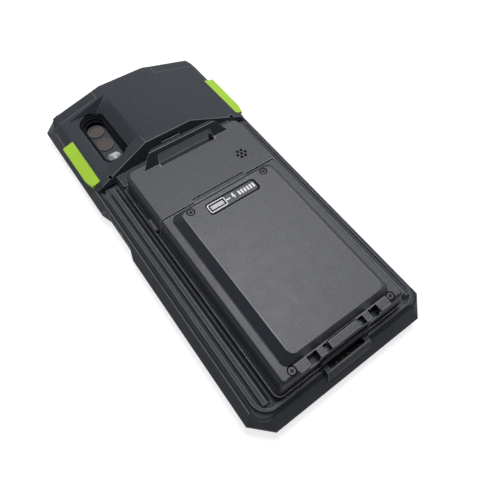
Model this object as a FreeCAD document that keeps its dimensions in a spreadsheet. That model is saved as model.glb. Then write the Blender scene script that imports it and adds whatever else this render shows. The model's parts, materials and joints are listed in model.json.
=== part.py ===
import FreeCAD, Part
import itertools
import math
import os
from collections import namedtuple

import Sketcher

# Barcode scanner sled: a rugged case round a phone, with a scanner module and a battery pack on its
# back. Millimetres. The screen side lies down on z = 0, +Z points out of the back, +Y towards the scan
# window, and the origin is under the middle of the case.

Vector = FreeCAD.Vector
Outline = namedtuple("Outline", "x y corners style")
doc = FreeCAD.newDocument("scanner_sled")
sheet = doc.addObject("Spreadsheet::Sheet", "sizes")
sheet_rows = itertools.count(1)
nodes = {}


class Size:
    """A length with the sheet formula that gives it, so sums and differences stay bound to the sheet."""

    def __init__(self, value, formula=None):
        self.value = float(value)
        self.formula = formula or f"({float(value)})"

    def __add__(self, other):
        other = size(other)
        return Size(self.value + other.value, f"({self.formula} + {other.formula})")

    def __sub__(self, other):
        other = size(other)
        return Size(self.value - other.value, f"({self.formula} - {other.formula})")

    def __mul__(self, other):
        other = size(other)
        return Size(self.value * other.value, f"({self.formula} * {other.formula})")

    def __truediv__(self, other):
        other = size(other)
        return Size(self.value / other.value, f"({self.formula} / {other.formula})")

    def __radd__(self, other):
        return size(other) + self

    def __rsub__(self, other):
        return size(other) - self

    def __rmul__(self, other):
        return size(other) * self

    def __neg__(self):
        return size(0) - self


def size(length):
    return length if isinstance(length, Size) else Size(length)


class Sizes:
    """One section's driving sizes: each is a cell of the sheet, and an attribute here."""

    def __init__(self, section, **values):
        for name, value in values.items():
            row = next(sheet_rows)
            alias = f"{section}_{name}"
            sheet.set(f"A{row}", alias)
            sheet.set(f"B{row}", str(value))
            sheet.setAlias(f"B{row}", alias)
            setattr(self, name, Size(value, f"sizes.{alias}"))
        sheet.recompute()


def bind(item, prop, length):
    item.setExpression(prop, size(length).formula)


def place(item, x, y, z):
    for axis, length in zip("xyz", (x, y, z)):
        bind(item, f".Placement.Base.{axis}", length)


def both(half):
    """The limits of something centred on the middle plane."""
    return (-size(half), size(half))


def wider(limits, by):
    """The same limits, each moved outwards."""
    return (limits[0] - size(by), limits[1] + size(by))


def on_side(side, inner, outer):
    """Limits across, from inner to outer, on the side that 1 or -1 names."""
    return (side * inner, side * outer)[::side]


def row_of(count, pitch):
    """Places for count things a pitch apart, centred on the middle plane."""
    return [size(pitch) * (index - (count - 1) / 2) for index in range(count)]


def flip(points):
    """The same profile on the other side of the middle plane."""
    return [(-size(x), y) for x, y in reversed(points)]


# Solids

def box(x, y, z):
    solid = doc.addObject("Part::Box", "box")
    for prop, (low, high) in zip(("Length", "Width", "Height"), (x, y, z)):
        bind(solid, prop, size(high) - low)
    place(solid, x[0], y[0], z[0])
    return solid


TURNS = {
    "X": FreeCAD.Rotation(Vector(0, 1, 0), 90),
    "Y": FreeCAD.Rotation(Vector(1, 0, 0), -90),
    "Z": FreeCAD.Rotation(),
}


def rod(axis, start, radius, length):
    """A round bar that runs from start along +axis."""
    solid = doc.addObject("Part::Cylinder", "rod")
    solid.Placement = FreeCAD.Placement(Vector(), TURNS[axis])
    bind(solid, "Radius", radius)
    bind(solid, "Height", length)
    place(solid, *start)
    return solid


def new_sketch(body, plane, offset):
    """A sketch on one of the body's origin planes, moved along X, Y or Z to offset."""
    sketch = body.newObject("Sketcher::SketchObject", "outline")
    face = [f for f in body.Origin.OriginFeatures if f.Role == plane + "_Plane"][0]
    sketch.AttachmentSupport = [(face, "")]
    sketch.MapMode = "FlatFace"
    # the XZ plane faces -Y
    bind(sketch, "AttachmentOffset.Base.z", -size(offset) if plane == "XZ" else offset)
    return sketch


def pin(sketch, edge, x, y):
    """Hold the start of a sketch edge at x, y."""
    for kind, length in (("DistanceX", x), ("DistanceY", y)):
        rule = Sketcher.Constraint(kind, -1, 1, edge, 1, size(length).value)
        bind(sketch, f"Constraints[{sketch.addConstraint(rule)}]", length)


def chain(sketch, starts):
    """Join the sketch's edges end to start, and hold each start at its point."""
    for edge in range(len(starts)):
        sketch.addConstraint(Sketcher.Constraint("Coincident", edge, 2, (edge + 1) % len(starts), 1))
    for edge, (x, y) in enumerate(starts):
        pin(sketch, edge, x, y)


def draw_polygon(sketch, points):
    ends = [Vector(size(x).value, size(y).value) for x, y in points]
    for start, end in zip(ends, ends[1:] + ends[:1]):
        sketch.addGeometry(Part.LineSegment(start, end))
    chain(sketch, points)


def draw_outline(sketch, outline):
    """A rectangle whose corners are rounded or cut off, anticlockwise from low x and low y.

    corners is one size, or four, and a corner of None stays sharp.
    """
    (x0, x1), (y0, y1) = [[size(v) for v in pair] for pair in (outline.x, outline.y)]
    corners = outline.corners if isinstance(outline.corners, (list, tuple)) else [outline.corners] * 4
    starts, edges = [], []
    for turn, ((x, inwards_x), (y, inwards_y), corner) in enumerate(zip(
        ((x0, 1), (x1, -1), (x1, -1), (x0, 1)), ((y0, 1), (y0, 1), (y1, -1), (y1, -1)), corners
    )):
        if corner is None:
            starts.append((x, y))
            edges.append(None)
            continue
        on_side = (x, y + inwards_y * size(corner))
        on_end = (x + inwards_x * size(corner), y)
        starts += [on_side, on_end] if turn in (0, 2) else [on_end, on_side]
        centre = Vector((x + inwards_x * size(corner)).value, (y + inwards_y * size(corner)).value)
        edges += [(centre, corner, turn), None]
    points = [Vector(x.value, y.value) for x, y in starts]
    radii = {}
    for index, edge in enumerate(edges):
        if edge is None or outline.style == "cut":
            sketch.addGeometry(Part.LineSegment(points[index], points[(index + 1) % len(points)]))
            continue
        centre, corner, turn = edge
        circle = Part.Circle(centre, Vector(0, 0, 1), size(corner).value)
        start = math.pi / 2 * (turn + 2)
        sketch.addGeometry(Part.ArcOfCircle(circle, start, start + math.pi / 2))
        radii[index] = corner
    chain(sketch, starts)
    for index, corner in radii.items():
        rule = Sketcher.Constraint("Radius", index, size(corner).value)
        bind(sketch, f"Constraints[{sketch.addConstraint(rule)}]", corner)


def plate(x, y, z, corners=None, style="round"):
    """A plate with an outline of its own, between two heights."""
    body = doc.addObject("PartDesign::Body", "plate")
    sketch = new_sketch(body, "XY", z[0])
    draw_outline(sketch, Outline(x, y, corners, style))
    pad = body.newObject("PartDesign::Pad", "pad")
    pad.Profile = sketch
    bind(pad, "Length", size(z[1]) - z[0])
    return body


def taper(low, low_z, high, high_z):
    """A straight-sided solid between two outlines at two heights."""
    body = doc.addObject("PartDesign::Body", "taper")
    sketches = []
    for outline, z in ((low, low_z), (high, high_z)):
        sketches.append(new_sketch(body, "XY", z))
        draw_outline(sketches[-1], outline)
    return loft(body, sketches)


def loft(body, sketches):
    feature = body.newObject("PartDesign::AdditiveLoft", "loft")
    feature.Profile = sketches[0]
    feature.Sections = sketches[1:]
    feature.Ruled = True
    return body


def rounded_box(foot, foot_z, top, top_z, edge):
    """A box that narrows from foot to top, with its long top edges rounded off in two facets."""
    def drawn_in(outline, inset):
        corners = [None if corner is None else corner - inset / 2 for corner in outline.corners]
        sides = (outline.x[0] + inset, outline.x[1] - inset)
        closed_low, closed_high = outline.corners[0] is not None, outline.corners[2] is not None
        ends = (outline.y[0] + inset * closed_low, outline.y[1] - inset * closed_high)
        return Outline(sides, ends, corners, outline.style)

    rest = edge * 0.4
    levels = [
        (foot, size(foot_z)), (top, top_z - edge), (drawn_in(top, rest), top_z - rest),
        (drawn_in(top, edge), size(top_z)),
    ]
    return joined(*[taper(low, low_z, high, high_z)
                    for (low, low_z), (high, high_z) in zip(levels, levels[1:])])


def prism(plane, points, low, high):
    """A profile drawn on a plane and pushed through from low to high."""
    body = doc.addObject("PartDesign::Body", "prism")
    sketch = new_sketch(body, plane, high if plane == "XZ" else low)
    draw_polygon(sketch, points)
    pad = body.newObject("PartDesign::Pad", "pad")
    pad.Profile = sketch
    bind(pad, "Length", size(high) - low)
    return body


def wedge(plane, low_points, low, high_points, high):
    """A straight-sided solid between two profiles with as many points."""
    body = doc.addObject("PartDesign::Body", "wedge")
    sketches = []
    for points, offset in ((low_points, low), (high_points, high)):
        sketches.append(new_sketch(body, plane, offset))
        draw_polygon(sketches[-1], points)
    return loft(body, sketches)


def coil(axis, start, radius, wire, length, turns):
    """A coil spring from start along +axis, whose end turns stay half a wire inside both ends."""
    inset = wire * 1.15
    spine = doc.addObject("Part::Helix", "coil_line")
    bind(spine, "Height", size(length) - inset * 2)
    bind(spine, "Pitch", (size(length) - inset * 2) / turns)
    bind(spine, "Radius", radius)
    section = doc.addObject("Part::Circle", "coil_wire")
    section.Placement = FreeCAD.Placement(Vector(), FreeCAD.Rotation(Vector(1, 0, 0), 90))
    bind(section, "Radius", wire)
    bind(section, ".Placement.Base.x", radius)
    spring = doc.addObject("Part::Sweep", "coil")
    spring.Sections = [section]
    spring.Spine = (spine, ["Edge1"])
    spring.Solid = True
    spring.Frenet = True
    spring.Placement = FreeCAD.Placement(Vector(), TURNS[axis])
    place(spring, *[size(at) + inset * (name == axis) for at, name in zip(start, "XYZ")])
    return spring


def soften(body, radius, pick):
    """Round the edges of a body that pick chooses."""
    doc.recompute()
    base = body.Tip
    names = [f"Edge{n}" for n, edge in enumerate(base.Shape.Edges, 1) if pick(edge)]
    feature = body.newObject("PartDesign::Fillet", "rounding")
    feature.Base = (base, names)
    bind(feature, "Radius", radius)
    return body


def joined(*solids):
    result = doc.addObject("Part::MultiFuse", "joined")
    result.Shapes = list(solids)
    result.Refine = True
    return result


def shared(first, second):
    result = doc.addObject("Part::MultiCommon", "shared")
    result.Shapes = [first, second]
    result.Refine = True
    return result


def cut(base, *tools):
    result = doc.addObject("Part::Cut", "cut")
    result.Base = base
    result.Tool = tools[0] if len(tools) == 1 else joined(*tools)
    result.Refine = True
    return result


def group(*solids):
    result = doc.addObject("Part::Compound", "group")
    result.Links = list(solids)
    return result


def mirrored(solid):
    result = doc.addObject("Part::Mirroring", "mirrored")
    result.Source = solid
    result.Normal = Vector(1, 0, 0)
    return result


def pair(solid):
    """The solid and its mirror image, which stay two solids."""
    return group(solid, mirrored(solid))


def node(name, solid):
    solid.Label = name
    nodes[name] = solid
    return solid


def cross_screw(x, y, top, up, screw):
    """A cross-head screw whose head's flat face is at top, and faces +Z when up is 1 or -Z when -1."""
    def span(depth_low, depth_high):
        ends = (top - up * size(depth_low), top - up * size(depth_high))
        return ends if up < 0 else ends[::-1]

    head_low, head_high = span(0, screw.head_height)
    shank_low, shank_high = span(screw.head_height, screw.length)
    recess = span(0, screw.recess_depth)
    head = rod("Z", (x, y, head_low), screw.head_radius, head_high - head_low)
    shank = rod("Z", (x, y, shank_low), screw.shank_radius, shank_high - shank_low)
    long_side, short_side = screw.recess_length / 2, screw.recess_width / 2
    slots = [
        box((x - a, x + a), (y - b, y + b), recess)
        for a, b in ((long_side, short_side), (short_side, long_side))
    ]
    return cut(joined(head, shank), *slots)


# Driving sizes

fit = Sizes("fit", gap=0.1, close=0.05, bond=0.5, past=4)
case = Sizes(
    "case", half_width=44, half_length=93, bottom_cut=7.8, top_cut=8.7, foot_inset=2.5, split=4.5,
    knee=6.5, shoulder=11.1, shoulder_half_width=41.1, shoulder_low=-88.8, shoulder_high=87.0,
    bottom_radius=6, top_radius=10, step=11.6, step_half_width=39.4, step_low=-87.2,
    step_high=86.8, back=12.8, back_half_width=37.8, back_low=-86.5, back_high=85.6,
    back_radius=5.3,
)
ridge = Sizes(
    "ridge", outer=39.1, inner=37.65, low=-87.0, inner_low=-86.1, top=14.0, radius=6.5,
    inner_radius=5.2, end=27.3, second_outer=36.25, second_inner=34.4, second_top=15.5,
    second_foot=32.5, second_foot_top=13.4, second_low=-84.0,
)
phone = Sizes(
    "phone", half_width=39.95, half_length=84.4, front=1.5, bend=8.9, back=11.4, edge=2.5,
    corner=9, pocket_gap=1.0, liner_outer=0.9, liner_inner=0.05, pocket_top=11.5,
    window_half_width=37.2, window_low=-80.5, window_high=82.0, window_corner=4, glass_front=0.9,
    glass_gap=0.3,
)
keys = Sizes(
    "keys", recess_x=42.0, recess_low=2.0, recess_high=22.5, lead_low=-6.0, lead_high=25.5,
    run_out=1.5, low=5.2, high=8.0, volume_low=11.2, volume_high=21.2, power_low=3.0,
    power_high=9.4, outer=41.7, inner=40.35, flange_outer=40.75, flange=0.5, slack=0.15,
)
charge = Sizes(
    "charge", half_width=10.7, front=-90.5, front_top=10.5, front_foot=8.8, top_front=-88.7,
    top=14.7, back=-85.95, slot_half_width=8.75, slot_front=-88.05, floor=7.5,
    notch_half_width=11.6, block_gap=0.1, block_back=-87.3, block_top=12.5, pad_pitch=2.8,
    pad_half=0.8, pad_low=9.3, pad_top=12.1, pad_front=-87.6, pad_back=-87.22, sink=0.4,
)
camera = Sizes(
    "camera", left=-30.2, right=-18.8, low=39.0, high=73.1, radius=5.69, wall=0.7, top_step=1.2,
    side_step=0.35, low_step=0.2, riser=0.95, first_riser=0.3, lens_x=-25.0, first_y=64.9,
    second_y=55.1, ring_radius=4.1, glass_radius=3.1, ring_top=12.75, deck_top=12.4,
    glass_top=12.65, flash_x=-24.8, flash_y=46.4, flash_half_width=3.1, flash_half_height=1.95,
    hole_gap=0.4, deck_left=-30.0, deck_right=-19.9, deck_low=43.0, deck_high=69.6,
    deck_radius=4.9,
)
base = Sizes(
    "base", half_width=31.3, low=-85.6, high=24.2, top=14.4, rim_top=16.5, rim_half_width=28.6,
    rim_low=-83.7, rim_high=22.6, radius=3.0, rim_radius=2.0, tongue_high=80.5, flex_low=3.5,
    flex_high=12.5, flex_top=15.2, post_radius=1.5, post_x=14, post_low=2, post_high=13,
)
shell = Sizes(
    "shell", foot_half_width=29.8, top_half_width=28.9, bottom=16.5, top=25.7, end=24.0,
    end_top=23.7, wall=1.6, split=-5.6, corner=3.0, edge=1.4, bar_front_foot=19.5, bar_front=22.7,
    bar_back=24.5, bar_back_foot=21.6, bar_top=31.0, bar_root=1.0, bar_near=18.5, bar_far=25.6,
    bar_near_foot=22.6, bar_near_top=21.7, bar_far_foot=14.0, bar_far_top=13.1,
    gap_half_width=13.7, gap_top_half=12.7, gap_low=18.05, gap_back=28.0, gap_floor=21.5,
    gap_roof=28.9, floor_skin=1.5, shelf=16.4, speaker_x=18.35, speaker_y=4.3, speaker_pitch=1.95,
    speaker_hole=0.7,
)
hinge = Sizes(
    "hinge", y=-4.9, z=24.7, pin_radius=0.5, pin_half_length=14.2, press_gap=0.02,
    running_gap=0.05, barrel_radius=1.0, barrel_half_width=12.9, ear_inner=13.1, ear_outer=14.6,
    groove_radius=1.3, groove_half_width=13.05, web_low=24.0, web_high=25.5,
)
pack = Sizes(
    "pack", high=-6.2, low=-84.5, top_low=-84.0, bottom=16.6, split=17.6, top=25.7, corner=1.6,
    edge=1.4, wall=1.6, foot_half_width=25.0, foot_low=-80.3, foot_high=-6.9, foot_top=26.1,
    crown_half_width=21.4, crown_low=-78.3, crown_high=-10.2, crown_top=30.1, foot_corner=3.6,
    crown_corner=2.6, pan_half_width=28.2, pan_low=-83.2, pan_high=-8.0, pan_bottom=15.0,
    pan_floor=16.0, pan_wall=2.0, room_low=-77.6, post_split=22.0, post_radius=2.3, hole_gap=0.1,
    gasket_outer=27.2, gasket_low=-79.0, gasket_high=-7.9, gasket_width=0.7, gasket_corner=2.0,
    gasket_top=18.4, crown_root=3.0,
)
label = Sizes(
    "label", left=-11.95, right=12.3, low=-18.0, high=-11.7, corner=1.6, depth=0.5,
    window_left=-10.4, window_right=-3.5, window_low=-16.1, window_high=-13.6, window_bottom=28.9,
    window_proud=0.1,
)
latch = Sizes(
    "latch", half_width=6.6, front=-83.8, back=-80.9, top=25.5, shoulder=23.0,
    body_half_width=9.2, body_back=-79.6, body_bottom=21.2, pocket_back=-77.9, pocket_roof=25.65,
    leg_front=-82.2, leg_back=-81.2, nose_half_width=11.9, nose_front=-85.2, nose_low=17.9,
    nose_high=18.9, hole_inner=6.9, hole_outer=9.5, notch_inner=12.1, notch_outer=16.5,
    notch_floor=21.5, notch_back=-80.8, slack=0.15, spring_x=8.0, spring_z=22.2,
    spring_radius=0.8, spring_wire=0.18, spring_back=-75.2, rib_back=-74.2, rib_half=1.6,
    catch_outer=-85.55, catch_inner=-85.25, catch_lip=-84.65, catch_low=19.0, catch_top=20.0,
    pad_inner=16.65, pad_outer=21.2, pad_front=-83.95, pad_back=-80.7, pad_top=25.95, pad_root=1.5,
)
head = Sizes(
    "head", near=30.0, skirt=30.7, skirt_corner=3.0, far=88.0, flat_half_width=12.0,
    near_flat=23.25, far_flat=20.9, side=37.4, near_side=15.6, far_side=14.3, edge=40.5,
    edge_top=12.5, bottom=11.6, skin=1.5, corner=10.0, corner_high=87.2, cavity_side=34.2,
    cavity_near=14.75, cavity_far=13.6, cavity_low=37.6, cavity_high=81.0, lean=0.52, wall_y=36.1,
    wall_z=23.0, wall_shift=1.45, ceiling=26.5, floor=10.6, end_y=83.0, end_z=21.1, end_lean=0.41,
    side_lean=0.87, side_fall=0.257, reach=45.0, beyond=95.0, trough_half_width=30.4,
    trough_low=25.0, trough_bottom=14.9, trough_top=16.0, trough_high=36.0, pinhole_x=32.9,
    pinhole_y=32.8, pinhole_half_width=0.65, pinhole_half_height=0.95, pinhole_floor=14.6,
    boss_top=21.2, slit_half_width=4.6, slit_low=20.05, slit_high=20.85, slit_end=36.6,
)
recess = Sizes(
    "recess", flat=12.0, foot=20.0, outer=36.0, near_foot=17.2, far_foot=15.6, near_outer=16.5,
    far_outer=15.0, skin_foot=20.6, skin_drop=1.9, low_inner=41.1, low_outer=37.1,
    high_inner=81.3, high_outer=87.1, low_fall=1.0, high_fall=12.0, low_z=15.0,
)
window = Sizes(
    "window", bezel_half_width=16.3, bezel_low=77.3, bezel_back=81.0, bezel_top=19.3,
    half_width=16.7, low=12.9, high=18.3, lip=0.7, recess=0.6, glass=1.0, gasket=0.4,
)
engine = Sizes(
    "engine", half_width=11.0, low=67.5, high=79.3, bottom=14.9, top=19.3, bracket_low=66.0,
    bracket_half_width=13.6, bracket_inner=13.0, bracket_top=17.5, lens_x=-2.5, lens_z=17.1,
    lens_radius=1.7, lens_front=80.3, aimer_x=4.6, aimer_radius=0.9, led_x=8.6, led_half=1.1,
    led_front=79.9, flex_left=4.0, flex_right=12.0, flex_thickness=0.15, flex_low=14.65,
    flex_rise=65.0, flex_end=14.8, flex_board=16.8, flex_down=16.2, flex_flat=17.4,
    flex_back=66.8, flex_plug=15.7,
)
trigger = Sizes(
    "trigger", foot_x=42.2, brow_x=42.6, low=35.0, tip=40.6, high=63.5, shoulder_x=41.3,
    outer=42.8, outer_foot=12.4, outer_top=13.2, bottom=11.9, inner=36.1, skin_x=37.4,
    inner_top=14.6, lift=13.0, ledge_x=38.8, stem_low=46.0, stem_high=52.0, stem_end=35.0,
    stem_top=14.3, gap=0.25, slot_top=14.75, slot_inner=34.1, travel=0.8, spring_x=33.1,
    spring_z=13.8, spring_radius=0.55, spring_wire=0.15, spring_low=42.0, spring_high=56.0,
    rib_inner=32.3, rib_half=1.3, rib_top=16.2, switch_inner=31.7, switch_outer=33.6,
    switch_low=47.0, switch_high=51.0, switch_top=14.4, button=34.15, button_half=0.9,
)
lock = Sizes(
    "lock", tab_inner=27.2, tab_outer=30.9, tab_low=-3.8, tab_high=2.4, tab_bottom=16.85,
    tab_top=18.1, slot_low=-3.95, slot_high=12.3, slot_bottom=16.7, slot_top=18.3,
    body_inner=26.0, body_bottom=16.7, body_top=19.4, bolt_inner=26.4, bolt_bottom=14.6,
    detent_inner=25.2, detent_outer=25.8, detent_low=-1.0, detent_high=9.0, detent_top=18.6,
)
board = Sizes(
    "board", half_width=24.4, low=-3.8, high=15.4, bottom=16.8, top=17.8, shield_left=-18.0,
    shield_right=-3.0, shield_low=2.4, shield_high=12.4, shield_top=20.0, chip_top=18.9,
    motor_x=-22.0, motor_z=19.9, motor_radius=2.0, motor_low=3.5, motor_high=13.0,
    speaker_radius=5.2, speaker_bottom=20.9, mesh_radius=3.4, mesh_bottom=23.95, shield_wall=0.3,
    processor_x=3, processor_y=7, processor_half=4, memory_x=11.25, memory_y=11, memory_half=1.8,
    radio_x=-11, radio_y=7.5, radio_half_width=3, radio_half_length=2.5,
)
cells = Sizes(
    "cells", half_width=19.4, low=-73.0, high=-20.5, bottom=16.2, top=28.2, split_gap=0.3,
    board_half_width=14.0, board_low=-19.6, board_high=-11.0, board_bottom=26.4, board_top=27.2,
    led_half=0.5, led_top=27.9, led_pitch=1.9, contact_pitch=3.0, contact_half=0.9,
    contact_y=-12.5, contact_top=16.1, corner=1.5, post_x=12.0, post_y=-18.0, post_radius=1.2,
    spring_top=14.85, spring_half=0.8,
)
pack_screw = Sizes(
    "pack_screw", upper_x=17.75, upper_y=-11.7, upper_top=30.0, lower_x=23.2, lower_y=-81.55,
    lower_top=25.55, head_radius=1.45, head_height=0.9, shank_radius=0.8, length=9.5,
    recess_depth=0.6, recess_length=1.7, recess_width=0.35, sink_radius=1.8,
)
frame_screw = Sizes(
    "frame_screw", rear_x=20.5, rear_y=19.2, front_x=10.0, front_y=-0.9, head_x=14.0,
    head_low=42.0, head_high=60.0, bottom=12.9, head_radius=1.6, head_height=0.7,
    shank_radius=0.7, length=6.0, recess_depth=0.45, recess_length=1.6, recess_width=0.35,
    boss_radius=1.9, hole_gap=0.1, boss_top=24.3,
)


# Case

def octagon(inset):
    """The case's outline, with its four corners cut off."""
    corners = [case.bottom_cut, case.bottom_cut, case.top_cut, case.top_cut]
    limits = [both(half - inset) for half in (case.half_width, case.half_length)]
    return Outline(*limits, corners, "cut")


def phone_form(gap, low, top):
    """The phone's block with its back edges bevelled, grown sideways by gap."""
    width, length = phone.half_width + gap, phone.half_length + gap
    lower = Outline(both(width), both(length), phone.corner + gap, "round")
    upper = Outline(
        both(width - phone.edge), both(length - phone.edge), phone.corner + gap - phone.edge, "round"
    )
    sides = plate(lower.x, lower.y, (low, phone.bend), lower.corners)
    return joined(sides, taper(lower, phone.bend, upper, top))


def key_recess():
    """The hollow in the left flank over the keys, with a sloping lead-in at each end."""
    beyond = case.half_width + keys.run_out
    points = [
        (-beyond, keys.lead_high + keys.run_out), (-keys.recess_x, keys.recess_high),
        (-keys.recess_x, keys.recess_low), (-beyond, keys.lead_low - keys.run_out),
    ]
    return prism("XY", points, 0, case.shoulder)


def key_hole(grow, outer, inner):
    """Holes for both keys, larger than the keys by grow."""
    return [
        box((-size(outer), -size(inner)), (low - grow, high + grow), (keys.low - grow, keys.high + grow))
        for low, high in ((keys.volume_low, keys.volume_high), (keys.power_low, keys.power_high))
    ]


def make_front_bezel():
    rim = taper(octagon(case.foot_inset), 0, octagon(0), case.split)
    view = plate(
        both(phone.window_half_width), (phone.window_low, phone.window_high), (-1, phone.front + 1),
        phone.window_corner,
    )
    pocket = plate(
        both(phone.half_width + phone.pocket_gap), both(phone.half_length + phone.pocket_gap),
        (phone.front, case.split + 1), phone.corner + phone.pocket_gap,
    )
    node("front_bezel", cut(rim, view, pocket, key_recess()))


def make_case_shell():
    shoulder = Outline(
        both(case.shoulder_half_width), (case.shoulder_low, case.shoulder_high),
        [case.bottom_radius, case.bottom_radius, case.top_radius, case.top_radius], "round",
    )
    step = Outline(both(case.step_half_width), (case.step_low, case.step_high), shoulder.corners, "round")
    flank = octagon(0)
    side = plate(flank.x, flank.y, (case.split, case.knee), flank.corners, "cut")
    slope = taper(flank, case.knee, shoulder, case.shoulder)
    narrow = taper(shoulder, case.shoulder, step, case.step)
    back = plate(
        both(case.back_half_width), (case.back_low, case.back_high), (case.step, case.back),
        case.back_radius,
    )
    corners = [ridge.radius, ridge.radius, None, None]
    ring = plate(both(ridge.outer), (ridge.low, ridge.end), (case.step, ridge.top), corners)
    inner_corners = [ridge.inner_radius, ridge.inner_radius, None, None]
    hollow = plate(
        both(ridge.inner), (ridge.inner_low, ridge.end + 1), (case.step - 1, ridge.top + 1), inner_corners
    )
    notch = box(
        both(charge.notch_half_width), (ridge.low - 1, ridge.inner_low + 1), (case.back, ridge.top + 1)
    )
    first_ridge = cut(ring, hollow, notch)
    profile = [
        (ridge.second_outer, case.back), (ridge.second_outer, ridge.second_top),
        (ridge.second_inner, ridge.second_top), (ridge.second_foot, ridge.second_foot_top),
        (ridge.second_foot, case.back),
    ]
    second_ridge = prism("XZ", profile, ridge.second_low, ridge.end)
    block = prism("YZ", [
        (charge.front, charge.front_top), (charge.top_front, charge.top), (charge.back, charge.top),
        (charge.back, case.step), (charge.front, charge.front_foot),
    ], *both(charge.half_width))
    slot = box(
        both(charge.slot_half_width), (charge.slot_front, charge.back + 1), (charge.floor, charge.top + 1)
    )
    hole = plate(
        (camera.left - camera.wall - camera.hole_gap, camera.right + camera.wall + camera.hole_gap),
        (camera.low - camera.wall - camera.hole_gap, camera.high + camera.wall + camera.hole_gap),
        (phone.bend, case.back + 1), camera.radius + camera.wall + camera.hole_gap,
    )
    solid = joined(side, slope, narrow, back, first_ridge, second_ridge, mirrored(second_ridge), block)
    pocket = phone_form(phone.pocket_gap, 0, phone.pocket_top)
    windows = key_hole(keys.slack, case.half_width, phone.half_width)
    node("case_shell", cut(solid, pocket, slot, hole, key_recess(), *windows))


def make_case_liner():
    outer = phone_form(phone.liner_outer, phone.front, phone.back)
    inner = phone_form(phone.liner_inner, 0, phone.back + phone.liner_inner)
    windows = key_hole(keys.flange + keys.slack, case.half_width, phone.half_width)
    node("case_liner", cut(outer, inner, *windows))


def make_charge_contacts():
    block = box(
        both(charge.slot_half_width - charge.block_gap),
        (charge.slot_front + charge.block_gap, charge.block_back), (charge.floor, charge.block_top),
    )
    pads = [
        box(
            (x - charge.pad_half, x + charge.pad_half), (charge.pad_front, charge.pad_back),
            (charge.pad_low, charge.pad_top),
        )
        for x in row_of(6, charge.pad_pitch)
    ]
    node("charge_contact_block", cut(block, *pads))
    node("charge_contacts", group(*pads))


def make_phone():
    body = phone_form(0, phone.front, phone.back)
    deck = plate(
        (camera.deck_left, camera.deck_right), (camera.deck_low, camera.deck_high),
        (phone.back - charge.sink, camera.deck_top), camera.deck_radius,
    )
    rings, bores, lenses = [], [], []
    for y in (camera.first_y, camera.second_y):
        centre = (camera.lens_x, y, phone.back)
        rings.append(rod("Z", centre, camera.ring_radius, camera.ring_top - phone.back))
        bores.append(rod("Z", (camera.lens_x, y, phone.back), camera.glass_radius, case.back))
        lenses.append(rod("Z", centre, camera.glass_radius - phone.liner_inner,
                          camera.glass_top - phone.back))
    flash_x = (camera.flash_x - camera.flash_half_width, camera.flash_x + camera.flash_half_width)
    flash_y = (camera.flash_y - camera.flash_half_height, camera.flash_y + camera.flash_half_height)
    flash_corner = camera.flash_half_height - fit.gap
    flash = plate(flash_x, flash_y, (phone.back, camera.glass_top), flash_corner)
    flash_seat = plate(flash_x, flash_y, (phone.back, case.back), flash_corner)
    node("phone_body", cut(joined(body, deck, *rings), *bores, flash_seat))
    node("camera_lenses", group(*lenses))
    node("flash_lens", flash)
    node("phone_screen", plate(
        both(phone.window_half_width - phone.glass_gap),
        (phone.window_low + phone.glass_gap, phone.window_high - phone.glass_gap),
        (phone.glass_front, phone.front), phone.window_corner,
    ))


def make_keys():
    for name, low, high in (
        ("volume_key", keys.volume_low, keys.volume_high), ("power_key", keys.power_low, keys.power_high)
    ):
        cap = box((-keys.outer, -keys.inner), (low, high), (keys.low, keys.high))
        flange = box(
            (-keys.flange_outer, -keys.inner), (low - keys.flange, high + keys.flange),
            (keys.low - keys.flange, keys.high + keys.flange),
        )
        node(name, joined(cap, flange))


# Module

def make_module_base():
    floor = plate(both(base.half_width), (base.low, base.tongue_high), (case.back, base.top), base.radius)
    rim = plate(both(base.half_width), (base.low, base.high), (base.top, base.rim_top), base.radius)
    hollow = plate(
        both(base.rim_half_width), (base.rim_low, base.rim_high), (base.top, base.rim_top + 1),
        base.rim_radius,
    )
    flex_way = box(
        (base.flex_low, base.flex_high), (base.rim_high - 1, base.high + 1), (base.top, base.flex_top)
    )
    posts = [
        rod("Z", (x, y, base.top), base.post_radius, board.bottom - base.top)
        for x in both(base.post_x) for y in (base.post_low, base.post_high)
    ]
    hole = plate(
        (camera.left - camera.wall - camera.hole_gap, camera.right + camera.wall + camera.hole_gap),
        (camera.low - camera.wall - camera.hole_gap, camera.high + camera.wall + camera.hole_gap),
        (case.back - 1, base.top + 1), camera.radius + camera.wall + camera.hole_gap,
    )
    holes = []
    for x, y in frame_screw_places("all"):
        radius = frame_screw.shank_radius + frame_screw.hole_gap
        holes.append(rod("Z", (x, y, case.back - 1), radius, fit.past))
        sink_radius = frame_screw.head_radius + frame_screw.hole_gap
        holes.append(rod("Z", (x, y, case.back - 1), sink_radius, 1 + frame_screw.head_height + fit.gap))
    node("module_base", cut(joined(floor, cut(rim, hollow, flex_way), *posts), hole, *holes))


def frame_screw_places(part):
    """Where the screws are that hold the upper housing or the head to the base."""
    rows = (
        (frame_screw.rear_x, frame_screw.rear_y), (frame_screw.front_x, frame_screw.front_y),
        (frame_screw.head_x, frame_screw.head_low), (frame_screw.head_x, frame_screw.head_high),
    )
    rows = {"front": rows[1:2], "upper": rows[:2], "head": rows[2:], "all": rows}[part]
    return [(side * x, y) for x, y in rows for side in (-1, 1)]


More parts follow.
